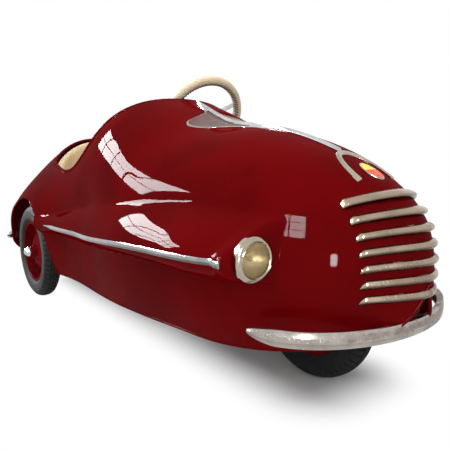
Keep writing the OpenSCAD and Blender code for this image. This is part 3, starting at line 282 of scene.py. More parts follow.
lace = steel("lace", (0.016, 0.015, 0.014), 0.7)
rubber = tyreRubber()
pedalRubber = steel("pedal_rubber", (0.02, 0.02, 0.02), 0.75)
gold = lampGold()
glass = lampGlass()
enamel = badgeEnamel()
print("materials")


# the car is measured in millimetres: x to its left, e forward of the front axle, z up
frontY = -558
wheelBase = 1010
axleZ = 158.5


def smoothCurve(xs, ys, x):
    xs = np.array(xs, float)
    ys = np.array(ys, float)
    x = np.clip(x, xs[0], xs[-1])
    h = np.diff(xs)
    d = np.diff(ys) / h
    m = np.concatenate([[d[0]], (d[:-1] * h[1:] + d[1:] * h[:-1]) / (h[:-1] + h[1:]), [d[-1]]])
    k = np.clip(np.searchsorted(xs, x, "right") - 1, 0, len(xs) - 2)
    t = (x - xs[k]) / h[k]
    return ((2 * t**3 - 3 * t**2 + 1) * ys[k] + (t**3 - 2 * t**2 + t) * h[k] * m[k]
            + (3 * t**2 - 2 * t**3) * ys[k + 1] + (t**3 - t**2) * h[k] * m[k + 1])


def closeTo(t, p):
    return np.maximum(0, 1 - np.clip(t, 0, 1) ** p) ** (1 / p)


mirror = np.array([-1, 1, 1])

hull = {
    "station": [-1300, -1150, -1000, -850, -700, -560, -450, -300, -100, 50, 160, 250],
    "top": [580, 560, 570, 598, 627, 662, 630, 572, 547, 508, 475, 456],
    "half": [287, 290, 292, 294, 292, 292, 301, 302, 283, 266, 232, 200],
    "waist": [175, 195, 220, 272, 325, 375, 350, 315, 270, 270, 270, 270],
    "hem": [143, 130, 116, 108, 102, 98, 105, 114, 121, 122, 117, 104],
    "round": [2, 2, 2.05, 2.1, 2.2, 2.25, 2.25, 2.2, 2.15, 2.15, 2.1, 2.1],
    "podE": [-1000, -900, -800, -700, -600, -500, -230, -80, 20, 50, 68, 78, 85, 94],
    "podOut": [0, 10.2, 26.35, 39.1, 40.8, 37.4, 51.85, 63.75, 76.5, 85, 100.3, 102.0, 59.5, 0],
    "podZ": [270, 275, 277.5, 280, 282.5, 285, 305, 311, 313, 314, 314, 314, 314, 314],
    "podUp": [22, 26, 34, 50, 66, 80, 86, 84, 78, 74, 72, 70, 68, 60],
    "podDown": [26, 30, 31, 32, 33, 33, 40, 49, 54, 54, 53, 52, 52, 50],
    "noseFrom": -100, "noseLong": 366, "tailFrom": -1000, "tailLong": 357,
    "planNose": 1.8, "planTail": 2.6, "overNose": 3.12, "underNose": 2.6, "overTail": 3.4,
}
noseTip = hull["noseFrom"] + hull["noseLong"]
tailTip = hull["tailFrom"] - hull["tailLong"]


def hullAt(key, e):
    return smoothCurve(hull["podE" if key.startswith("pod") else "station"], hull[key], e)


# points from x, e and z
def placed(x, e, z):
    return np.stack([x, frontY - e, z], -1)


# a point of the skin: angle 0 is the right side at its widest, 90 the top, 180 the left side,
# and from -90 to 0 and from 180 to 270 the walls run down to the hem
def bodyPoint(e0, a0, inset=0.0):
    e0, a0 = np.broadcast_arrays(np.asarray(e0, float), np.asarray(a0, float))
    a = np.where(a0 <= 90, a0, 180 - a0)
    side = np.where(a0 <= 90, -1.0, 1.0)
    tn = (e0 - hull["noseFrom"]) / hull["noseLong"]
    tt = (hull["tailFrom"] - e0) / hull["tailLong"]
    e = e0 - inset * np.maximum(tn, 0) + inset * np.maximum(tt, 0)
    w = hullAt("half", e0) - inset
    top = hullAt("top", e0) - inset
    waist = hullAt("waist", e0)
    p = hullAt("round", e0)
    plan = closeTo(tn, hull["planNose"]) * closeTo(tt, hull["planTail"])
    s = np.maximum(0, -a / 90)
    u = np.radians(np.maximum(0, a))
    x1 = plan * np.where(a >= 0, w * np.abs(np.cos(u)) ** (2 / p), w * (1 - 0.105 * s**2.4))
    lower = waist - (waist - hullAt("hem", e0)) * s
    z1 = np.where(a >= 0, waist + (top - waist) * np.sin(u) ** (2 / p), lower)
    mid = np.where(e0 > -500, 270.0, 175.0)
    tall = np.where(z1 > mid, closeTo(tn, hull["overNose"]), closeTo(tn, hull["underNose"]))
    z = mid + (z1 - mid) * (tall * closeTo(tt, hull["overTail"]))
    dz = z - hullAt("podZ", e0)
    above = np.clip(dz / hullAt("podUp", e0), 0, 1)
    below = np.clip(-dz / hullAt("podDown", e0), 0, 1)
    shelf = np.where(dz > 0, (1 - above**1.6) ** 1.15, (1 - below**2.4) ** 0.9)
    fender = 80 * closeTo(tt, 3) * np.exp(-np.abs((e0 + 1116) / 260) ** 3 - np.abs((z - 194) / 210) ** 3)
    x = x1 + np.minimum(1, 3 * x1 / w) * (hullAt("podOut", e0) * shelf + fender)
    return placed(side * x, e, z)


# halves the span between low and high, and goes up where the test says so
def halving(low, high, steps, goesUp):
    for k in range(steps):
        m = (low + high) / 2
        up = goesUp(m)
        low = np.where(up, m, low)
        high = np.where(up, high, m)
    return (low + high) / 2


def angleAt(e, z):
    flat = np.zeros(np.broadcast(e, z).shape)
    return halving(flat - 90, flat + 90, 24, lambda m: bodyPoint(e, m)[..., 2] < z)


def bodyX(e, z):
    return -bodyPoint(e, angleAt(e, z))[..., 0]


def noseE(x, z):
    flat = np.zeros(np.broadcast(x, z).shape)
    return halving(flat + hull["noseFrom"], flat + noseTip, 22, lambda m: bodyX(m, z) > x)


def topZ(e, x):
    waist = hullAt("waist", e)
    p = hullAt("round", e)
    tn = (e - hull["noseFrom"]) / hull["noseLong"]
    r = np.minimum(1, np.abs(x) / (hullAt("half", e) * closeTo(tn, hull["planNose"])))
    z1 = waist + (hullAt("top", e) - waist) * (1 - r**p) ** (1 / p)
    return 270 + (z1 - 270) * closeTo(tn, hull["overNose"])


# edge of the cockpit from its front (0) down the right side to its back (rimEnd), with a point beyond
# each end: e, and the angle on the skin
cockpit = {
    "e": [-509, -505, -509, -523, -545, -580, -612, -655, -720,
          -790, -860, -930, -1010, -1080, -1140, -1175, -1190, -1175],
    "a": [101, 90, 79, 67, 54, 39, 30, 24.5, 22.5, 25.5, 31, 37, 43, 49, 58.5, 71, 90, 109],
}
rimEnd = 15


def rimAt(u):
    index = np.arange(-1, rimEnd + 2)
    return smoothCurve(index, cockpit["e"], u), smoothCurve(index, cockpit["a"], u)


# turns a place that runs on round the left side into the same place on the right
def rimFold(u):
    return np.where(u <= rimEnd, u, 2 * rimEnd - u)


def rimPlace(e):
    flat = np.zeros(np.shape(e))
    return halving(flat + 4, flat + 13, 26, lambda m: rimAt(m)[0] > e)


def rimCross(a, low, high):
    rising = rimAt(low)[1] < rimAt(high)[1]
    flat = np.zeros(np.shape(a))
    return rimAt(halving(flat + low, flat + high, 26, lambda m: (rimAt(m)[1] < a) == rising))[0]


# mesh from points in millimetres, merged, closed outward and smoothed
def newObject(name, verts, faces, material, smooth=35):
    mesh = bpy.data.meshes.new(name)
    mesh.from_pydata([tuple(float(c) / 1000 for c in v) for v in verts], [], faces)
    obj = bpy.data.objects.new(name, mesh)
    bpy.context.scene.collection.objects.link(obj)
    mesh.materials.append(material)
    bm = bmesh.new()
    bm.from_mesh(mesh)
    bmesh.ops.remove_doubles(bm, verts=bm.verts, dist=0.00002)
    bmesh.ops.dissolve_degenerate(bm, edges=bm.edges, dist=0.000005)
    bmesh.ops.recalc_face_normals(bm, faces=bm.faces)
    bm.to_mesh(mesh)
    bm.free()
    smoothShade(obj, smooth)
    return obj


def pick(obj):
    bpy.ops.object.select_all(action="DESELECT")
    obj.select_set(True)
    bpy.context.view_layer.objects.active = obj


# angle in degrees
def smoothShade(obj, angle=35):
    pick(obj)
    bpy.ops.object.shade_smooth_by_angle(angle=math.radians(angle))


def applyAll(obj):
    pick(obj)
    for m in list(obj.modifiers):
        bpy.ops.object.modifier_apply(modifier=m.name)


def joinInto(name, parts):
    pick(parts[0])
    for p in parts[1:]:
        p.select_set(True)
    bpy.ops.object.join()
    parts[0].name = name
    parts[0].data.name = name
    return parts[0]


def tubeFaces(n, m, loop, start=0):
    faces = []
    for i in range(n if loop else n - 1):
        for j in range(m):
            k = (j + 1) % m
            here, there = start + i * m, start + (i + 1) % n * m
            faces.append((here + j, here + k, there + k, there + j))
    if not loop:
        faces.append(tuple(start + j for j in range(m))[::-1])
        faces.append(tuple(start + (n - 1) * m + j for j in range(m)))
    return faces


def tube(name, rings, material, loop=False, smooth=35):
    rings = np.asarray(rings, float)
    n, m = rings.shape[:2]
    return newObject(name, rings.reshape(-1, 3), tubeFaces(n, m, loop), material, smooth)


def roundTube(name, path, radius, material, loop=False, sides=16):
    path = np.asarray(path, float)
    ahead = np.roll(path, -1, 0) - np.roll(path, 1, 0)
    if not loop:
        ahead[0] = path[1] - path[0]
        ahead[-1] = path[-1] - path[-2]
    ahead /= np.linalg.norm(ahead, axis=1)[:, None]
    up = np.array([0.0, 0.0, 1.0])
    if abs(ahead[0] @ up) > 0.9:
        up = np.array([1.0, 0.0, 0.0])
    side = np.cross(ahead[0], up)
    rings = []
    t = np.linspace(0, 2 * math.pi, sides, endpoint=False)
    for point, along in zip(path, ahead):
        side = side - (side @ along) * along
        side /= np.linalg.norm(side)
        other = np.cross(along, side)
        rings.append(point + radius * (np.cos(t)[:, None] * side + np.sin(t)[:, None] * other))
    return tube(name, rings, material, loop)


# closed profile of (radius, along) turned round local Z
def lathe(name, profile, material, turns=96, smooth=35):
    t = np.linspace(0, 2 * math.pi, turns, endpoint=False)
    verts = [(float(r) * math.cos(a), float(r) * math.sin(a), float(z)) for a in t for r, z in profile]
    return newObject(name, verts, tubeFaces(turns, len(profile), True), material, smooth)


def pointsOf(obj):
    return np.array([v.co for v in obj.data.vertices])


def movePoints(obj, co):
    obj.data.vertices.foreach_set("co", co.astype(np.float32).ravel())
    obj.data.update()


# turns local Z outward from the centre plane and puts the piece at a wheel's centre
def outward(obj, x, e):
    co = pointsOf(obj)
    s = -1 if x < 0 else 1
    turned = np.stack([s * co[:, 2], co[:, 1], -s * co[:, 0]], 1)
    movePoints(obj, turned + np.array([x, frontY - e, axleZ]) / 1000)


# turns local Z backward and puts the piece at a headlamp's place
def atLamp(obj, s):
    co = pointsOf(obj)
    place = np.array([s * lamp["x"], frontY - lamp["e"], lamp["z"]]) / 1000
    movePoints(obj, np.stack([co[:, 0], co[:, 2], -co[:, 1]], 1) + place)


def copyOf(obj, name):
    new = obj.copy()
    new.data = obj.data.copy()
    new.name = name
    new.data.name = name
    bpy.context.scene.collection.objects.link(new)
    return new


def stand(obj, body, slotName, *nodes):
    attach(obj, body)
    if nodes:
        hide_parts(*nodes)


# remeshes a padded piece, blows it up as cloth and holds each point within a cap of its start
def swell(obj, settings):
    mesh = obj.modifiers.new("remesh", "REMESH")
    mesh.mode = "VOXEL"
    mesh.voxel_size = settings["voxel"]
    applyAll(obj)
    start = pointsOf(obj)
    cloth = obj.modifiers.new("cloth", "CLOTH")
    for key, value in settings["cloth"].items():
        setattr(cloth.settings, key, value)
    cloth.settings.effector_weights.gravity = 0
    cloth.point_cache.frame_start = 1
    cloth.point_cache.frame_end = settings["frames"]
    for f in range(1, settings["frames"] + 1):
        bpy.context.scene.frame_set(f)
    applyAll(obj)
    bpy.context.scene.frame_set(1)
    moved = pointsOf(obj) - start
    far = np.linalg.norm(moved, axis=1)
    keep = np.minimum(1, settings["cap"] / np.maximum(far, 1e-9))
    start = start + moved * keep[:, None]
    movePoints(obj, start)
    fine = obj.modifiers.new("fine", "SUBSURF")
    fine.levels = 1
    fine.render_levels = 1
    applyAll(obj)
    smoothShade(obj, 70)


# the pressed skin, in patches that share their borders: nose, cowl, sides and tail
shell = {"wall": 4, "side": 60, "roof": 22, "noseRows": 64, "podRows": 30, "cowlRows": 46, "sideRows": 90,
         "tailRows": 44, "noseFrom": -50, "cowlFrom": -580, "sideFrom": -1140, "tailFrom": -1215,
         "archR": 186, "archBack": 16}
lamp = {"x": 257, "e": 98, "z": 314, "seat": 42.3, "seatDeep": 30, "bucket": 38.3,
        "glass": 33.1, "dome": 0.8, "bowl": 32.6, "bowlDeep": 24}


# puts the rows of the sides closer together round the pods
def crowded(s):
    return s - 0.6 / math.tau * (np.sin(math.tau * (s - 0.72)) + math.sin(math.tau * 0.72))


def sectionAngles(a):
    side = -90 + (a + 90) * crowded(np.linspace(0, 1, shell["side"] + 1))
    half = np.concatenate([side, np.linspace(a, 90, shell["roof"] + 1)[1:]])
    return np.concatenate([half, 180 - half[-2::-1]])


# unit vectors square to a path in the plane
def sideways(path):
    d = np.gradient(path, axis=0)
    d /= np.linalg.norm(d, axis=1)[:, None]
    return np.stack([-d[:, 1], d[:, 0]], -1)


def gridFaces(n, m, start):
    corners = [start + i * m + j for i in range(n - 1) for j in range(m - 1)]
    return [(k, k + 1, k + m + 1, k + m) for k in corners]


cowlA, tailA = 39, 58.5  # angles of the cockpit's edge where the sides meet the cowl and the tail
patches = []
ga = sectionAngles(cowlA)
turn = np.linspace(0, math.pi / 2, 200)
# rows grow closer to the tip, where the plan closes
full = hull["noseFrom"] + hull["noseLong"] * np.sin(turn) ** (2 / hull["planNose"])
first = np.interp(shell["noseFrom"], full, turn)
noseEs = np.interp(np.linspace(first, math.pi / 2, shell["noseRows"]), turn, full)
noseEs = np.minimum(noseEs, noseTip - hull["noseLong"] * 0.0001)
podEnd = (64, 96)  # closer rows where the pods end
noseEs = noseEs[(noseEs < podEnd[0]) | (noseEs > podEnd[1])]
noseEs = np.sort(np.concatenate([noseEs, np.linspace(*podEnd, shell["podRows"])]))
grid = bodyPoint(noseEs[:, None], ga[None, :])
grid[-1, :, 0] = 0
patches.append(grid)
fold = np.where(ga <= 90, ga, 180 - ga)  # the same angle on the right side
back = np.where(fold <= cowlA + 0.0001, float(shell["cowlFrom"]), rimCross(fold, 0, 4))
k = np.linspace(0, 1, shell["cowlRows"])[:, None]
patches.append(bodyPoint(back + (shell["noseFrom"] - back) * k, ga[None, :] + 0 * k))
es = np.linspace(shell["sideFrom"], shell["cowlFrom"], shell["sideRows"])
edge = rimAt(rimPlace(es))[1]
edge[0], edge[-1] = tailA, cowlA
k = crowded(np.linspace(0, 1, shell["side"] + 1))
rightSide = bodyPoint(es[:, None], -90 + (edge[:, None] + 90) * k)
patches += [rightSide, rightSide * mirror]
gt = sectionAngles(tailA)
fold = np.where(gt <= 90, gt, 180 - gt)
front = np.where(fold <= tailA + 0.0001, float(shell["sideFrom"]), rimCross(fold, 13, rimEnd - 0.0001))
full = hull["tailFrom"] - hull["tailLong"] * np.sin(turn) ** (2 / hull["planTail"])
first = np.interp(shell["tailFrom"], full[::-1], turn[::-1])
tailEs = np.interp(np.linspace(first, math.pi / 2, shell["tailRows"]), turn, full)
tailEs = np.maximum(tailEs, tailTip + hull["tailLong"] * 0.0001)
blend = np.linspace(0, 1, 14)[:-1, None]
rows = np.concatenate([front + (tailEs[0] - front) * blend, tailEs[:, None] + 0 * front])
grid = bodyPoint(rows, gt[None, :])
grid[-1, :, 0] = 0
patches.append(grid)
verts, faces = [], []
for p in patches:
    n, m = p.shape[:2]
    faces += gridFaces(n, m, len(verts))
    verts += list(p.reshape(-1, 3))
bodyShell = newObject("body_shell", verts, faces, wine, 60)
solid = bodyShell.modifiers.new("wall", "SOLIDIFY")
solid.thickness = shell["wall"] / 1000
solid.offset = -1
applyAll(bodyShell)


def cutter(radius, depth, place, turnY=0.0, turnX=0.0):
    bpy.ops.mesh.primitive_cylinder_add(vertices=128, radius=radius / 1000, depth=depth / 1000,
                                        location=[c / 1000 for c in place], rotation=(turnX, turnY, 0))
    return bpy.context.object


cutters = []
quarter = math.pi / 2
for s in (-1, 1):
    wheelY = frontY + wheelBase + shell["archBack"]
    lampX, lampY = s * lamp["x"], frontY - lamp["e"]
    cutters.append(cutter(shell["archR"], 250, (s * 325, wheelY, axleZ), turnY=quarter))
    seatY = lampY - lamp["seatDeep"] + 46.3 / 2
    cutters.append(cutter(lamp["seat"], 46.3, (lampX, seatY, lamp["z"]), turnX=quarter))
    cutters.append(cutter(lamp["bucket"], 80, (lampX, lampY + 40, lamp["z"]), turnX=quarter))
    for y in (frontY - 130, frontY + 1300):  # slots for the bumper irons
        bpy.ops.mesh.primitive_cube_add(size=1, location=(s * 0.12, y / 1000, 0.175))
        bpy.context.object.scale = (0.027, 0.3, 0.008)
        cutters.append(bpy.context.object)
for c in cutters:
    cut = bodyShell.modifiers.new("cut", "BOOLEAN")
    cut.operation = "DIFFERENCE"
    cut.solver = "EXACT"
    cut.object = c
applyAll(bodyShell)
for c in cutters:
    bpy.data.objects.remove(c)
smoothShade(bodyShell, 40)
print("shell", len(bodyShell.data.polygons))

# rolled edge round the hem and over the arches
lip = {"r": 3.2, "inset": 1.5, "noseRows": 90}


def archPath():
    t = np.radians(np.linspace(-40, 220, 400))
    e = -wheelBase - shell["archBack"] + shell["archR"] * np.cos(t)
    z = axleZ + shell["archR"] * np.sin(t)
    keep = z > bodyPoint(e, -90.0)[..., 2]
    e, z = e[keep], z[keep]
    return placed(-bodyX(e, z), e, z)


arch = archPath()
archFront, archRear = frontY - arch[0, 1], frontY - arch[-1, 1]
noseRows = np.concatenate([np.linspace(archFront + 2, -60, lip["noseRows"]), noseEs[:-1], [noseTip - 0.02]])
noseHem = bodyPoint(noseRows, -90.0)
noseHem[-1, 0] = 0
tailRows = np.concatenate([[tailEs[-1]], tailEs[-2::-1], np.linspace(shell["tailFrom"] + 1, archRear - 1, 8)])
tailHem = bodyPoint(tailRows, -90.0)
tailHem[0, 0] = 0
lipPath = np.concatenate([arch[::-1], noseHem, (noseHem * mirror)[-2::-1], arch * mirror,
                          (tailHem * mirror)[::-1], tailHem[1:]])
step = np.linalg.norm(np.diff(lipPath, axis=0, append=lipPath[:1]), axis=1)
lipPath = lipPath[step > 0.6]
lipPath = lipPath - np.sign(lipPath[:, :1]) * np.array([lip["inset"], 0, 0])
edgeRoll = roundTube("body_edge_roll", lipPath, lip["r"], wine, loop=True, sides=12)
stand(edgeRoll, "chassis", "body_paint")
stand(bodyShell, "chassis", "body_paint",
      "body_nose", "body_cowl", "body_side_right", "body_side_left", "body_tail")

# rolled bead round the cockpit
bead = {"r": 5, "gap": 0.8, "turns": 300, "sides": 20, "inset": 2.0}
u = np.arange(bead["turns"]) * 2 * rimEnd / bead["turns"]
qe, qa = rimAt(rimFold(u))
qa = np.where(u <= rimEnd, qa, 180 - qa)
pts = bodyPoint(qe, qa, bead["inset"])
outs = bodyPoint(qe, qa) - pts
d = np.roll(pts, -1, 0) - np.roll(pts, 1, 0)
d /= np.linalg.norm(d, axis=1)[:, None]
b = np.cross(d, outs)
b /= np.linalg.norm(b, axis=1)[:, None]
n = np.cross(b, d)
c = pts + (bead["r"] + bead["gap"]) * b
t = np.linspace(0, 2 * math.pi, bead["sides"], endpoint=False)
ring = np.cos(t)[None, :, None] * n[:, None] + np.sin(t)[None, :, None] * b[:, None]
rings = c[:, None] + bead["r"] * ring
beadPiece = tube("cockpit_roll", rings, wine, loop=True)
stand(beadPiece, "chassis", "body_paint", "cockpit_bead")

# headlamps, as profiles of (radius, depth behind the lamp's face)
arc = [(34.4 + 7.6 * math.sin(a), 7.6 - 7.6 * math.cos(a)) for a in np.radians(np.arange(0, 91, 6))]
bezelProfile = ([(31.5, 3), (31.5, 1.2), (32.3, 0.4), (33.2, 1.4), (33.6, 1.0)] + arc
                + [(42, 15.4), (41.4, 16), (38, 16), (38, 60), (36, 60), (36, 8), (33.6, 8), (33.6, 3)])
lensProfile = [(lamp["glass"] * k / 12, 3.2 + lamp["dome"] * (k / 12) ** 2) for k in range(1, 13)]
lensProfile = [(0.01, 3.2)] + lensProfile + [(lamp["glass"], 6.5), (0.01, 6.5)]
bowl = [(lamp["bowl"] * k / 24, 8.2 + lamp["bowlDeep"] * (1 - (k / 24) ** 2)) for k in range(24, -1, -1)]
outer = [(34.0 * k / 24 + 0.01, 10.5 + 25 * (1 - (k / 24) ** 2)) for k in range(25)]
bulbProfile = [(0.01, 14), (2.5, 14.6), (4.2, 16.5), (5, 19.5), (4.4, 23), (3, 26), (3, 33), (0.01, 33)]
for s, tag in ((-1, "right"), (1, "left")):
    ring = lathe("bezel_" + tag, bezelProfile, lampPlate, 128)
    lens = lathe("lens_" + tag, lensProfile, glass)
    dish = lathe("reflector_" + tag, [(35.5, 8.2)] + bowl + outer + [(35.5, 11)], gold)
    bulb = lathe("bulb_" + tag, bulbProfile, gold, 40)
    dish = joinInto("reflector_" + tag, [dish, bulb])
    for piece, slotName, node in ((ring, "chrome", "bezel"), (lens, "lamp_glass", "lens"),
                                  (dish, "lamp_bowl", "reflector")):
        atLamp(piece, s)
        stand(piece, "chassis", slotName, "headlamp_%s_%s" % (node, tag))

# side strips on the pods
strip = {"h": 12, "t": 5, "from": -815, "to": 76, "n": 150}
es = np.linspace(strip["from"], strip["to"], strip["n"])
sz = hullAt("podZ", es) - 3
kk = np.minimum(1, 0.15 + (es - strip["from"]) / 90)  # the rear end runs out thin
profile = [(0, -1), (0.55, -1), (0.66, -0.93), (0.97, -0.18), (1, -0.08),
           (0.97, 0.02), (0.66, 0.9), (0.55, 1), (0, 1)]
rings = []
for out, up in profile:
    z = sz + strip["h"] / 2 * kk * up
    rings.append(placed(-(bodyX(es, sz) + 0.3 + strip["t"] * kk * out), es, z))
rings = np.stack(rings, 1)
for s, tag in ((-1, "right"), (1, "left")):
    side = tube("strip_" + tag, rings * np.array([-s, 1, 1]), stripPlate, smooth=28)
    stand(side, "chassis", "chrome", "side_strip_" + tag)

# hood ornament: a wing with a fin, and the strip that runs down to the horseshoe
orn = {"e": [-450, -420, -395, -376, -360, -346, -330, -300, -272, -246, -222, -190, -80, 60],
       "w": [2, 8, 15, 30, 62, 100, 116, 113, 94, 60, 24, 9, 6, 5], "fin": 12, "gap": 1.1, "n": 240, "m": 64}
es = np.linspace(orn["e"][0], orn["e"][-1], orn["n"])
wide = np.maximum(1.5, smoothCurve(orn["e"], orn["w"], es))
t = np.linspace(-1, 1, orn["m"] + 1)
kx = np.sign(t) * np.abs(t) ** 1.6
x = wide[:, None] * kx[None, :]
ee = es[:, None] + 0 * x
base = topZ(ee, x) + orn["gap"]
fall = 1 - 0.5 * (1 / (1 + np.exp(-(ee + 200) / 6)))
rim = np.clip((1 - np.abs(kx)[None, :]) * wide[:, None] / 1.6, 0, 1) ** 0.5
up = base + 0.5 + 1.5 * rim + (orn["fin"] - 2) * np.exp(-(np.abs(x) / 5) ** 2) * fall * rim
n, m = x.shape
size = n * m
verts = np.concatenate([placed(x, ee, z).reshape(-1, 3) for z in (up, base)])
faces = gridFaces(n, m, 0) + [f[::-1] for f in gridFaces(n, m, size)]
for i in range(0, size - m, m):
    faces.append((i, i + m, size + i + m, size + i))
    faces.append((i + m - 1, size + i + m - 1, size + i + 2 * m - 1, i + 2 * m - 1))
for j in range(m - 1):
    k = size - m + j
    faces.append((j, size + j, size + j + 1, j + 1))
    faces.append((k, k + 1, size + k + 1, size + k))
ornament = newObject("ornament", verts, faces, bright, 38)
ornament.data.materials.append(wing)
ornament.data.materials.append(lampPlate)
for poly in ornament.data.polygons:  # worn plate with a painted wine-red reflection inside the wing, brass-coloured at its edge
    px, py, pz = (1000 * c for c in poly.center)
    reachX = float(smoothCurve(orn["e"], orn["w"], frontY - py))
    if abs(px) > 6 and frontY - py > -400 and reachX > 18:
        poly.material_index = 1 if abs(px) < reachX - 4 else 2
stand(ornament, "chassis", "chrome", "hood_ornament")

# horseshoe, and the bare badge inside it
shoe = {"w": 12, "t": 5, "half": 52, "from": 150, "long": 82}
t = np.radians(np.linspace(0, 180, 120))
cx = shoe["half"] * np.cos(t)
ce = shoe["from"] - shoe["long"] * np.sin(t)
dx = -shoe["half"] * np.sin(t)
de = -shoe["long"] * np.cos(t)
size = np.hypot(dx, de)
qx, qe = de / size, -dx / size
profile = [(-0.5, 0), (-0.5, 0.35), (-0.42, 0.62), (-0.28, 0.85), (-0.1, 0.98),
           (0.1, 0.98), (0.28, 0.85), (0.42, 0.62), (0.5, 0.35), (0.5, 0)]
rings = []
for k, h in profile:
    x = cx + qx * shoe["w"] * k
    e = ce + qe * shoe["w"] * k
    rings.append(placed(x, e, topZ(e, x) + 0.3 + shoe["t"] * h))
shoePiece = tube("horseshoe", np.stack(rings, 1), lampPlate)
stand(shoePiece, "chassis", "chrome", "horseshoe_trim")

plate = {"half": 19, "long": 26, "e": 138, "t": 2.5, "turns": 72}
verts = []
ang = np.linspace(0, 2 * math.pi, plate["turns"], endpoint=False)
levels = ([(r, plate["t"] * (1 - 0.35 * r**4)) for r in np.linspace(0.001, 0.86, 10)]
          + [(0.9, 2.4), (0.97, 2.3), (0.995, 1.6), (0.995, 0.0), (0.001, 0.0)])
for r, h in levels:
    x = plate["half"] * r * np.cos(ang)
    e = plate["e"] + plate["long"] * r * np.sin(ang)
    verts += list(placed(x, e, topZ(e, x) + 0.3 + h))
m = plate["turns"]
faces = tubeFaces(len(levels), m, False)[:-2]  # without the two end faces
badge = newObject("badge", verts, faces, enamel)
badge.data.materials.append(lampPlate)
for poly in badge.data.polygons:
    co = badge.data.vertices[poly.vertices[0]].co
    far = math.hypot(co.x * 1000 / plate["half"], (frontY - co.y * 1000 - plate["e"]) / plate["long"])
    if far > 0.87:
        poly.material_index = 1
stand(badge, "chassis", "badge_enamel", "badge_plate")

# grille bars: (place across the bar's height, how far out, height from -1 to 1)
bar = {"count": 7, "half": 110, "h": 15, "low": 240, "pitch": 27.6, "arch": 9, "t": 7, "gap": 0.8, "n": 120}
barProfile = [(0, 0, -1), (0, 0.3, -0.99), (0, 0.6, -0.75), (0, 0.82, -0.42), (0, 0.9, -0.12),
              (0, 0.9, 0.15), (0.15, 0.8, 0.45), (0.35, 0.6, 0.75), (0.6, 0.35, 0.93), (1, 0.1, 1),
              (1, 0, 0.98)]
for number in range(1, bar["count"] + 1):
    rise = (bar["count"] - number) / (bar["count"] - 1)
    i = np.linspace(0, 18, bar["n"])
    xs = bar["half"] * np.sin(np.radians(-90 + 180 * i / 18))
    arch = bar["arch"] * (1 + rise) * (1 - (xs / bar["half"]) ** 2)
    z = bar["low"] + (bar["count"] - 1) * rise * bar["pitch"] + arch
    scale = np.minimum(1, 0.12 + np.minimum(i, 18 - i) / 2.6)
    path = np.stack([xs, noseE(np.abs(xs), z)], -1)
    q = sideways(path)
    h = bar["h"] / 2 * scale
    z = z + h - bar["h"] / 2  # the ends are cut slanting, down to the lower edge
    low = np.stack([xs, noseE(np.abs(xs), z - h)], -1)
    high = np.stack([xs, noseE(np.abs(xs), z + h)], -1)
    rings = []
    for level, out, up in barProfile:
        at = low * (1 - level) + high * level + q * (bar["gap"] + out * bar["t"] * scale)[:, None]
        rings.append(placed(at[:, 0], at[:, 1], z + h * up))
    piece = tube("bar_%d" % number, np.stack(rings, 1), pitted, smooth=32)
    stand(piece, "chassis", "bar_chrome", "grille_bar_%d" % number)
print("trim")

# bumpers: a ribbed blade, as (depth from the face, height from -1 to 1), bent along a path
bumper = {"h": 31, "t": 14, "half": 261, "from": 75, "out": 178, "z": 183,
          "rearHalf": 326, "rearE": -1388, "rearBow": 78, "rearZ": 174}
bumperProfile = [(-1, -0.7), (-0.62, -0.86), (-0.17, -0.985), (-0.08, -0.93), (-0.045, -0.46),
                 (-0.012, -0.37), (0, -0.3), (-0.006, 0.0), (0, 0.28), (-0.012, 0.36), (-0.05, 0.44),
                 (-0.1, 0.93), (-0.19, 0.985), (-0.62, 0.84), (-1, 0.7), (-0.9, 0.6), (-0.35, 0.78),
                 (-0.22, 0.3), (-0.22, -0.3), (-0.35, -0.78), (-0.9, -0.6)]


def bumperBlade(name, path, index, out, level, material):
    q = out * sideways(path)
    h = bumper["h"] / 2 * np.sqrt(np.minimum(1, 0.06 + np.minimum(index, index[-1] - index) / 3.5))
    rings = []
    for deep, high in bumperProfile:
        at = path + q * deep * bumper["t"]
        rings.append(placed(at[:, 0], at[:, 1], level + h * high))
    return tube(name, np.stack(rings, 1), material, smooth=30)


index = np.linspace(0, 34, 260)
x = bumper["half"] * np.sin(np.radians(-90 + 180 * index / 34))
reach = bumper["from"] + bumper["out"] * (1 - np.minimum(1, np.abs(x) / bumper["half"]) ** 2) ** (1 / 2)
front = bumperBlade("bumper_front", np.stack([x, reach], -1), index, 1, bumper["z"], bumperPlate)
stand(front, "chassis", "bar_chrome", "front_bumper")
index = np.linspace(0, 30, 200)
x = -bumper["rearHalf"] * np.cos(np.radians(180 * index / 30))
reach = bumper["rearE"] + bumper["rearBow"] * (np.abs(x) / bumper["rearHalf"]) ** 3
rear = bumperBlade("bumper_rear", np.stack([x, reach], -1), index, -1, bumper["rearZ"], bright)
stand(rear, "chassis", "bar_chrome", "rear_bumper")
print("bumpers")

# tyres: a ribbed tread of blocks between three grooves
tyre = {"deep": 30, "half": 28.5, "p": 2.4, "bead": 107.4, "pitches": 56, "groove": 3.2, "wide": 2.6,
        "treadR": 156, "grooves": (-9.0, 0.0, 9.0), "rearX": 293.5}


def tyreProfile():
    a = np.radians(np.linspace(-128, 128, 73))
    c, s = np.cos(a), np.sin(a)
    r = axleZ - tyre["deep"] + tyre["deep"] * (np.sign(c) * np.abs(c) ** (2 / tyre["p"]))
    z = tyre["half"] * (np.sign(s) * np.abs(s) ** (2 / tyre["p"]))
    keep = r > tyre["bead"]
    return r[keep], z[keep]


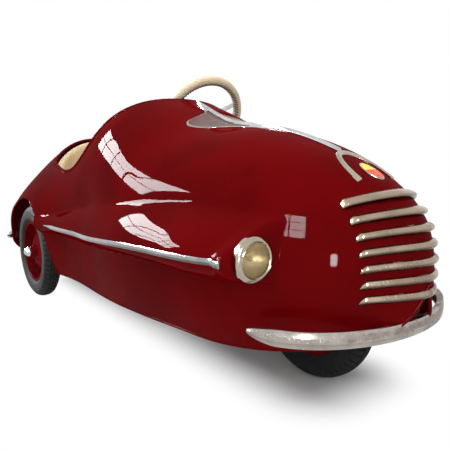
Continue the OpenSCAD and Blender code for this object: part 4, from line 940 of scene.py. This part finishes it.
def makeTyre():
    r0, z0 = tyreProfile()
    fine = np.linspace(0, 1, 2000)
    length = np.concatenate([[0], np.cumsum(np.hypot(np.diff(r0), np.diff(z0)))])
    length /= length[-1]
    rd, zd = np.interp(fine, length, r0), np.interp(fine, length, z0)
    # lines across the tread, with a pair at each wall of the grooves
    lines = [-24.5, -23.8, -20, -16, -12.5, -5.5, -3, 3, 5.5, 12.5, 16, 20, 23.8, 24.5]
    for g in tyre["grooves"]:
        lines += [g - 1.5, g - 1.1, g + 1.1, g + 1.5]
    crown = rd > 140
    marks = [np.interp(l, zd[crown], fine[crown]) for l in sorted(lines)]
    side = list(np.linspace(0, marks[0], 26)[:-1])
    ts = np.array(side + marks + [1 - s for s in side[::-1]])
    r, z = np.interp(ts, fine, rd), np.interp(ts, fine, zd)
    dr, dz = np.gradient(r), np.gradient(z)
    nr, nz = dz / np.hypot(dr, dz), -dr / np.hypot(dr, dz)
    # two raised rings and a fine groove on both walls
    wall = np.abs(z) > 20
    rings = 0.7 * np.exp(-((r - 141) / 1.4) ** 2) + 0.6 * np.exp(-((r - 117) / 1.2) ** 2)
    rings = rings - 0.5 * np.exp(-((r - 123) / 0.9) ** 2)
    off = np.where(wall & (r < 146), rings, 0) - 0.7 * np.where(wall, 0.6, 0.0)
    g = tyre["wide"] / (2 * math.pi * tyre["treadR"] / tyre["pitches"])
    cuts = [0, 0.035, g - 0.035, g]
    uLines = sorted(cuts + [c + 0.5 for c in cuts] + [g + (0.5 - g) / 2, 0.5 + g + (0.5 - g) / 2])
    verts = []
    for k in range(tyre["pitches"]):
        for u in uLines:
            ang = 2 * math.pi * (k + u) / tyre["pitches"]
            cut = np.zeros(len(ts))
            for i in np.nonzero(r >= 143)[0]:
                row = int(np.digitize(z[i], tyre["grooves"]))
                across = (u - (0.0 if row in (0, 2) else 0.5)) % 1.0
                if min(abs(z[i] - c) for c in tyre["grooves"]) < 1.2:
                    cut[i] = tyre["groove"]
                elif 0.034 < across < g - 0.034 and abs(z[i]) < 27.6:
                    cut[i] = tyre["groove"] * (0.75 if row in (1, 2) else 1.0)
            # the last six points are the foot that sits in the rim
            rr = np.concatenate([r + nr * (off - cut), [106.5, 106.5, 101.3, 101.3, 106.5, 106.5]])
            zz = np.concatenate([z + nz * (off - cut), [21.4, 18.8, 18.8, -18.8, -18.8, -21.4]])
            verts += [(a * math.cos(ang), a * math.sin(ang), b) for a, b in zip(rr, zz)]
    faces = tubeFaces(tyre["pitches"] * len(uLines), len(ts) + 6, True)
    return newObject("tyre", verts, faces, rubber, 32)


# tag, x, e, body, half the hub's length, its bore
wheels = (("front", 0, 0, "front_wheel", 36.5, 6.05),
          ("right", -tyre["rearX"], -wheelBase, "rear_axle", 31.5, 8.0),
          ("left", tyre["rearX"], -wheelBase, "left_wheel", 31.5, 8.05))
tyreBase = makeTyre()
for tag, x, e, body, half, bore in wheels:
    t = copyOf(tyreBase, "tyre_tread_" + tag)
    outward(t, x, e)
    stand(t, body, "tyre_rubber", "tyre_" + tag)
bpy.data.objects.remove(tyreBase)


def rounded(profile, times=4):
    profile = np.asarray(profile, float)
    i = np.arange(len(profile))
    f = np.linspace(0, len(profile) - 1, (len(profile) - 1) * times + 1)
    return list(zip(smoothCurve(i, profile[:, 0], f), smoothCurve(i, profile[:, 1], f)))


# wheels as profiles of (radius, distance outward)
barrel = [(101, -19), (104.2, -19), (105.6, -19.3), (106, -20), (105.6, -20.7), (104.4, -21), (96.6, -21),
          (96, -20.4), (96, -17), (97.2, -14)]
barrel += [(r, -z) for r, z in barrel[::-1]]
disc = rounded([(15, 8), (26, 9.4), (34, 12), (42, 11.4), (50, 8), (60, 2), (72, -4), (80, -7.6), (88, -10),
                (92, -10.6), (97.2, -11)])
disc += [(r, z - 4) for r, z in disc[::-1]]
bolts = {"count": 5, "at": 36,
         "profile": [(5.0, 4), (5.0, 13.6), (4.2, 14.6), (2.6, 14.6), (2.4, 15), (0.2, 15)]}


def makeRim(tag, half, bore):
    hub = [(bore, -half), (18.6, -half), (19.6, 1 - half), (20, 2.4 - half), (20, 4), (21.6, 7.6),
           (23.4, 9.2), (20.6, 11), (20, 13), (20, half - 2.4), (19.6, half - 1), (18.6, half), (bore, half)]
    parts = [lathe("rim", barrel, wheelRed, 144), lathe("disc", disc, wheelRed, 144),
             lathe("hub", hub, wheelRed, 72)]
    for k in range(bolts["count"]):
        a0 = 2 * math.pi * k / bolts["count"]
        x, y = bolts["at"] * math.cos(a0), bolts["at"] * math.sin(a0)
        corners = a0 + 2 * math.pi * np.arange(6) / 6
        hexagon = [np.stack([x + r * np.cos(corners), y + r * np.sin(corners), z + 0 * corners], 1)
                   for r, z in bolts["profile"]]
        parts.append(tube("bolt", hexagon, wheelRed, smooth=20))
    return joinInto("wheel_disc_" + tag, parts)


for tag, x, e, body, half, bore in wheels:
    piece = makeRim(tag, half, bore)
    outward(piece, x, e)
    stand(piece, body, "wheel_paint", "rim_" + tag)

capProfile = [(8, 0), (16.4, 0), (17, 0.6), (17, 3.4), (16.7, 4.6), (16, 7), (14.6, 9.4), (13, 11),
              (12.4, 12), (12, 13), (11.4, 14.4), (9, 17), (7, 18.2), (5, 19), (2.4, 19.8), (0.01, 20),
              (0.01, 10), (8, 10)]
for s, tag, end in ((-1, "right", 31.5), (1, "left", 31.8)):
    nut = lathe("hub_nut_" + tag, capProfile, bright, 72)
    outward(nut, s * tyre["rearX"], -wheelBase)
    movePoints(nut, pointsOf(nut) + np.array([s * end / 1000, 0, 0]))
    stand(nut, "rear_axle", "chrome", "hub_cap_" + tag)
print("wheels")

# steering wheel: a leather cover laced along its inner side
wheel = {"x": 114, "e": -588, "z": 601, "R": 132.5, "r": 14.5, "tilt": 60, "stitches": 84, "seamAt": 128,
         "laceR": 1.5}


# from the column's own space, with Z down the column, to the car's
def columnFrame(points):
    a = math.radians(180 - wheel["tilt"])
    p = np.asarray(points, float)
    y = p[..., 1] * math.cos(a) - p[..., 2] * math.sin(a)
    z = p[..., 1] * math.sin(a) + p[..., 2] * math.cos(a)
    return np.stack([p[..., 0] + wheel["x"], y + frontY - wheel["e"], z + wheel["z"]], -1)


t = np.linspace(0, 2 * math.pi, wheel["stitches"] * 6, endpoint=False)
f = np.linspace(0, 2 * math.pi, 28, endpoint=False)
seamAt = math.radians(wheel["seamAt"])
gap = np.abs((f - seamAt + math.pi) % (2 * math.pi) - math.pi)
pucker = np.exp(-(gap / 0.42) ** 2)
rng = np.random.default_rng(4)
lump = np.interp(t, np.linspace(0, 2 * math.pi, 60), np.concatenate([rng.normal(0, 0.12, 59), [0]]))
wave = np.cos(wheel["stitches"] * t)
rr = wheel["r"] - 0.45 + lump[:, None] - pucker[None, :] * (0.55 + 0.5 * wave[:, None])
rr = rr - 0.5 * np.exp(-(gap / 0.12) ** 2)[None, :]
R = wheel["R"] + rr * np.cos(f)[None, :]
grid = np.stack([R * np.cos(t)[:, None], R * np.sin(t)[:, None], rr * np.sin(f)[None, :]], -1)
grip = tube("grip_cover", columnFrame(grid), creamGrip, loop=True)
laces = []
for k in range(wheel["stitches"]):
    a0 = 2 * math.pi * (k + 0.5) / wheel["stitches"]
    points = []
    for q in np.linspace(-1, 1, 9):
        fa, ta = seamAt + q * 0.46, a0 + q * 0.024
        ra = wheel["r"] - 1.1 + 1.2 * (1 - q * q)
        out = wheel["R"] + ra * math.cos(fa)
        points.append((out * math.cos(ta), out * math.sin(ta), ra * math.sin(fa)))
    laces.append(roundTube("lace", columnFrame(points), wheel["laceR"], lace, sides=6))
laces = joinInto("grip_lacing", laces)
stand(grip, "column", "grip_leather", "steering_grip")
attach(laces, "column")
print("steering wheel")

# pleated padding round the back of the cockpit
pad = {"inset": 8, "t": 24, "panels": 5, "rows": 56, "from": -664}
floorTop = 235.3


def padLine(u):
    qe, qa = rimAt(rimFold(u))
    return bodyPoint(qe, qa) * np.where(u <= rimEnd, 1, -1)[..., None] ** np.array([1, 0, 0])


def padNormal(u):
    d = padLine(u + 0.15) - padLine(u - 0.15)
    n = np.hypot(d[..., 0], d[..., 1])
    return np.stack([d[..., 1] / n, -d[..., 0] / n], -1)


u0 = float(rimPlace(np.array(float(pad["from"]))))
count = pad["rows"] * pad["panels"]
i = np.arange(count + 1)
u = u0 + 2 * (rimEnd - u0) * i / count
p = padLine(u)
q = padNormal(u)
top = p[:, 2] - 8
end = np.minimum(1, 0.35 + np.minimum(i, count - i) / 8)
puff = np.abs(np.sin(math.pi * i / pad["rows"])) ** 0.22
t = pad["t"] * end * (0.8 + 0.2 * puff)
# share of the thickness, share of the height from the floor to the top, and millimetres more
padProfile = [(0, 0, 0), (0, 1, -14), (0.05, 1, -7), (0.15, 1, -3.6), (0.3, 1, -1), (0.45, 1, 0),
              (0.62, 1, -1.6), (0.8, 1, -5), (0.92, 1, -10), (1, 1, -18), (1.0, 0.8, 0), (0.96, 0.6, 0),
              (0.93, 0.45, 0), (0.95, 0.3, 0), (1, 0, 30), (0.97, 0, 14), (0.85, 0, 0)]
rings = []
for deep, share, more in padProfile:
    shift = q * (pad["inset"] + deep * t)[:, None]
    z = floorTop + (top - floorTop) * share + more
    rings.append(np.stack([p[:, 0] + shift[:, 0], p[:, 1] + shift[:, 1], z], -1))
lining = tube("seat_lining", np.stack(rings, 1), creamSeat, smooth=70)
stand(lining, "chassis", "seat_leather", "seat_back")

# bench cushion with sewn channels
cushion = {"front": -700, "back": -1096, "half": 226, "pleats": 9, "h": 70, "channel": 3.4,
           "voxel": 0.005, "cap": 0.006, "frames": 20,
           "cloth": {"quality": 6, "mass": 0.3, "tension_stiffness": 12, "compression_stiffness": 12,
                     "bending_stiffness": 0.6, "use_pressure": True, "uniform_pressure_force": 4}}
cushionMid = (cushion["front"] + cushion["back"]) / 2
cushionLong = (cushion["front"] - cushion["back"]) / 2
threads = 3 * cushion["pleats"]


def cushionW(e):
    u = rimPlace(np.maximum(e, shell["sideFrom"] + 1.0))
    clear = 38 * np.maximum(1, 1 / np.maximum(0.5, np.abs(padNormal(u)[..., 0])))
    return np.minimum(cushion["half"], -padLine(u)[..., 0] - clear)


tt = np.sin(np.radians(np.linspace(-89, 89, 90)))
e = cushionMid + cushionLong * tt
g = (1 - np.abs(tt) ** 6) ** (1 / 6)
w = cushionW(e) * (0.35 + 0.65 * (1 - np.abs(tt) ** 8) ** (1 / 8))
h = (cushion["h"] - 5) * (0.45 + 0.55 * g)
j = np.linspace(0, threads, 163)
s = -1 + 2 * j / threads
crown = np.maximum(0, 1 - np.abs(s) ** 5) ** 0.4 * (1 - 0.12 * s * s)
seam = 2 * (1 - np.abs(np.sin(math.pi * j / 3)) ** 0.45) * (np.abs(s) < 0.97)
z = floorTop + h[:, None] * (0.5 + 0.5 * crown[None, :]) - seam[None, :] * g[:, None]
topRows = placed(w[:, None] * s[None, :], e[:, None] + 0 * z, z)
flank = [(1.02, 0.36), (1.02, 0.24), (1.0, 0.12), (0.96, 0.03), (0.93, 0)]
flank += [(-kx, kz) for kx, kz in flank[::-1]]
under = [placed(w * kx, e, floorTop + h * kz) for kx, kz in flank]
seat = tube("seat_pad", np.concatenate([topRows, np.stack(under, 1)], 1), creamSeat, smooth=70)
swell(seat, cushion)
co = pointsOf(seat) * 1000
wideAt = np.interp(frontY - co[:, 1], e, w)
share = co[:, 0] / wideAt
spot = (share + 1) * 1.5 * cushion["pleats"]
off = np.abs((spot + 1.5) % 3 - 1.5) * 2 * wideAt / threads
inside = np.clip((0.96 - np.abs(share)) / 0.05, 0, 1) * np.clip((co[:, 2] - 270) / 12, 0, 1)
ends = np.clip((cushionLong - np.abs(frontY - co[:, 1] - cushionMid)) / 20, 0, 1)
co[:, 2] -= cushion["channel"] * np.exp(-((off / 2.6) ** 2)) * inside * ends
co[:, 2] = np.maximum(co[:, 2], floorTop)
movePoints(seat, co / 1000)
stand(seat, "chassis", "seat_leather", "seat_cushion")
print("seat")

# roller chain
chain = {"x": -45, "pitch": 12.7, "ring": 22, "sprocket": 14, "links": 120, "plate": 0.9, "plateR": 3.9,
         "inner": 2.0, "outer": 3.4, "crank": (-360, 190.0)}


# places along the pitch circles of both sprockets and the straight runs between them
def chainPoint(path):
    ra = chain["pitch"] / (2 * math.sin(math.pi / chain["ring"]))
    rb = chain["pitch"] / (2 * math.sin(math.pi / chain["sprocket"]))
    a = np.array([frontY - chain["crank"][0], chain["crank"][1]])
    b = np.array([frontY + wheelBase, axleZ])
    d = (b - a) / np.linalg.norm(b - a)
    n = np.array([-d[1], d[0]])
    lean = math.asin((ra - rb) / np.linalg.norm(b - a))
    pts = []
    for c, r, start, sweep in ((a, ra, math.pi / 2 - lean, math.pi + 2 * lean),
                               (b, rb, 1.5 * math.pi + lean, math.pi - 2 * lean)):
        pts += [c + r * (math.cos(t) * d + math.sin(t) * n) for t in start + sweep * np.arange(61) / 60]
    pts = np.array(pts + [pts[0]])
    s = np.concatenate([[0], np.cumsum(np.linalg.norm(np.diff(pts, axis=0), axis=1))])
    return np.stack([np.interp(path, s / s[-1], pts[:, 0]), np.interp(path, s / s[-1], pts[:, 1])], -1)


pins = chainPoint(np.arange(chain["links"]) / chain["links"])
verts, faces = [], []
for k, (p, q) in enumerate(zip(pins, np.roll(pins, -1, 0))):
    d = (q - p) / np.linalg.norm(q - p)
    n = np.array([-d[1], d[0]])
    outline = []
    for c, a0 in ((q, -90), (p, 90)):
        for t in np.radians(a0 + 36 * np.arange(6)):
            outline.append(c + chain["plateR"] * (math.cos(t) * d + math.sin(t) * n))
    waist = (p + q) / 2
    outline.insert(6, waist + 3.0 * n)
    outline.append(waist - 3.0 * n)
    m = len(outline)
    x0 = chain["inner"] if k % 2 else chain["outer"] - chain["plate"]
    for s in (-1, 1):
        base = len(verts)
        for x in sorted((s * x0, s * (x0 + chain["plate"]))):
            verts += [(chain["x"] + x, o[0], o[1]) for o in outline]
        faces += [tuple(base + f for f in face) for face in tubeFaces(2, m, False)]
    base = len(verts)
    for x, r in ((-3.8, 1.3), (-1.9, 1.3), (-1.9, 3.0), (1.9, 3.0), (1.9, 1.3), (3.8, 1.3)):
        verts += [(chain["x"] + x, p[0] + r * math.cos(a), p[1] + r * math.sin(a))
                  for a in np.radians(np.arange(0, 360, 36))]
    faces += [tuple(base + f for f in face) for face in tubeFaces(6, 10, False)]
drive = newObject("drive_chain", verts, faces, chainSteel, 40)
stand(drive, "chassis", "chain_steel", "chain")

# ribbed pedal blocks
pedal = {"half": 30, "high": 11, "groove": 8.6, "edge": 6, "ribs": 7, "throw": 80}
rib = 2 * pedal["half"] / pedal["ribs"]
upper = []
for j in range(pedal["ribs"]):
    y = -pedal["half"] + j * rib
    upper += [(y + 0.8, pedal["groove"]), (y + 1.6, pedal["high"]), (y + rib - 1.6, pedal["high"]),
              (y + rib - 0.8, pedal["groove"])]
corner = (pedal["half"], pedal["edge"])
outline = [(-corner[0], corner[1])] + upper + [corner]
outline += [(-y, -z) for y, z in outline]
for s, tag in ((-1, "right"), (1, "left")):
    y0 = frontY - chain["crank"][0] + s * pedal["throw"]
    rings = []
    for x, k in ((70, 0.955), (71.5, 0.985), (74, 1), (146, 1), (148.5, 0.985), (150, 0.955)):
        rings.append([(s * x, y0 + y * k, chain["crank"][1] + z * k) for y, z in outline])
    block = tube("pedal_block_" + tag, rings, pedalRubber, smooth=30)
    stand(block, "pedal_" + tag, "pedal_rubber", "pedal_" + tag)
print("chain and pedals")

# CAD nodes kept as they are, with their own materials and soft edges
kept = {
    frameBlack: ["front_irons", "rear_irons", "rail_right", "rail_left", "cross_front", "cross_rear", "neck",
                 "column_hoop", "crank_bracket", "axle_blocks", "fork"],
    floorGrey: ["floor_pan"],
    bareSteel: ["rear_axle", "front_axle", "steering_column", "cross_link", "crank"],
    chainSteel: ["rear_sprocket", "chain_ring"],
    bright: ["steering_spokes"],
}
for material, names in kept.items():
    for name in names:
        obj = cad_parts[name]
        obj.data.materials.clear()
        obj.data.materials.append(material)
        soft = obj.modifiers.new("soft edges", "BEVEL")
        soft.width = 0.0008
        soft.segments = 2
        soft.limit_method = "ANGLE"
        soft.angle_limit = math.radians(40)
        soft.use_clamp_overlap = True

# pale floor: it keeps the shadow under the car and fades to white round it, for what the camera sees
floor = {"size": 14, "y": 1.5, "shadowX": 0.05, "shadowY": 0.58, "fade": 0.18}
bpy.ops.mesh.primitive_plane_add(size=floor["size"], location=(0, floor["y"], 0))
ground = bpy.context.object
ground.name = "ground"
paper = Mat("paper", Roughness=0.9, Specular_IOR_Level=0.0)
paper.set("Base Color", paper.mix(paper.noise(3, 2), (0.90, 0.90, 0.90), (0.92, 0.92, 0.92)))
px, py, pz = paper.axes()
overX = (px.math("ABSOLUTE") - floor["shadowX"]).math("MAXIMUM", 0.0)
overY = ((py + (floor["y"] + 0.02)).math("ABSOLUTE") - floor["shadowY"]).math("MAXIMUM", 0.0)
away = (overX * overX + overY * overY) ** 0.5
path = paper.add("ShaderNodeLightPath", {}, {})
seenRay = (path["Is Camera Ray"] + path["Is Glossy Ray"] + path["Is Transmission Ray"]).math("MINIMUM", 1.0)
white = paper.add("ShaderNodeEmission", {}, {"Color": (1, 1, 1), "Strength": 1.0})[0]
fade = {0: away.ramp(0.0, floor["fade"]) * seenRay, 1: Val(paper, paper.shader.outputs[0]), 2: white}
paper.surface(paper.add("ShaderNodeMixShader", {}, fade)[0])
ground.data.materials.append(paper.data)


def softBox(name, place, target, wide, high, watts):
    data = bpy.data.lights.new(name, "AREA")
    data.shape = "RECTANGLE"
    data.size = wide
    data.size_y = high
    data.energy = watts
    obj = bpy.data.objects.new(name, data)
    bpy.context.scene.collection.objects.link(obj)
    obj.location = place
    obj.rotation_euler = (Vector(target) - Vector(place)).to_track_quat("-Z", "Y").to_euler()
    return obj


# soft boxes: place, point they face, width, height, watts
boxes = {
    "ceiling": [(-0.4, -0.3, 3.2), (0, 0, 0.3), 3.2, 3.2, 96],
    "sideBox": [(-3.2, -0.9, 1.7), (0, 0, 0.4), 1.1, 1.4, 20],
    "frontBox": [(-0.7, -4.0, 1.9), (0, -0.4, 0.3), 1.2, 0.9, 14],
}
for name, values in boxes.items():
    softBox(name, *values).visible_glossy = False

# windows of the hall, small bright lamps that show in gloss and leave the level of the room alone:
# centre, point they face, columns, rows, pane width and height, watts of a pane
halls = {
    "rear": [(-1.95, 2.9, 2.3), (-0.3, 0.1, 0.45), 4, 2, 0.44, 0.5, 105],
    "front": [(-2.74, -2.27, 2.12), (-0.2, -0.65, 0.37), 2, 3, 0.34, 0.42, 46],
    "low": [(-2.25, -2.95, 0.42), (-0.15, -0.7, 0.3), 1, 1, 0.14, 0.55, 45],
}
bars = 0.035
for tag, (place, target, cols, rows, wide, tall, watts) in halls.items():
    facing = (Vector(target) - Vector(place)).normalized()
    across = facing.cross(Vector((0, 0, 1))).normalized()
    up = across.cross(facing)
    for col in range(cols):
        for row in range(rows):
            spot = Vector(place) + (across * (col - (cols - 1) / 2) * (wide + bars)
                                    + up * (row - (rows - 1) / 2) * (tall + bars))
            pane = softBox("%sPane_%d%d" % (tag, col, row), spot, spot + facing, wide, tall, watts)
            pane.visible_diffuse = False

# the room is dimmer as light than as what the camera, gloss and glass see
world = bpy.data.worlds.new("room")
bpy.context.scene.world = world
world.use_nodes = True
nodes, links = world.node_tree.nodes, world.node_tree.links
room, seen = nodes["Background"], nodes.new("ShaderNodeBackground")
for shader, strength in ((room, 0.44), (seen, 1.0)):
    shader.inputs["Color"].default_value = (1, 1, 1, 1)
    shader.inputs["Strength"].default_value = strength
rays = nodes.new("ShaderNodeLightPath")
either, anyOf = nodes.new("ShaderNodeMath"), nodes.new("ShaderNodeMath")
anyOf.use_clamp = True
last = nodes.new("ShaderNodeMixShader")
for out, into in ((rays.outputs["Is Camera Ray"], either.inputs[0]),
                  (rays.outputs["Is Glossy Ray"], either.inputs[1]),
                  (rays.outputs["Is Transmission Ray"], anyOf.inputs[1]),
                  (either.outputs[0], anyOf.inputs[0]), (anyOf.outputs[0], last.inputs[0]),
                  (room.outputs[0], last.inputs[1]), (seen.outputs[0], last.inputs[2]),
                  (last.outputs[0], nodes["World Output"].inputs["Surface"])):
    links.new(out, into)

# camera at the photograph's place
lens = bpy.data.cameras.new("camera")
lens.lens = 38.4
lens.sensor_width = 36
lens.clip_start = 0.05
camera = bpy.data.objects.new("camera", lens)
bpy.context.scene.collection.objects.link(camera)
camera.location = (-0.7925, -1.257, 0.496)
camera.rotation_euler = (math.radians(81.5), 0, math.radians(-37.8))
bpy.context.scene.camera = camera
bpy.context.scene.view_settings.view_transform = "Standard"

print("done")
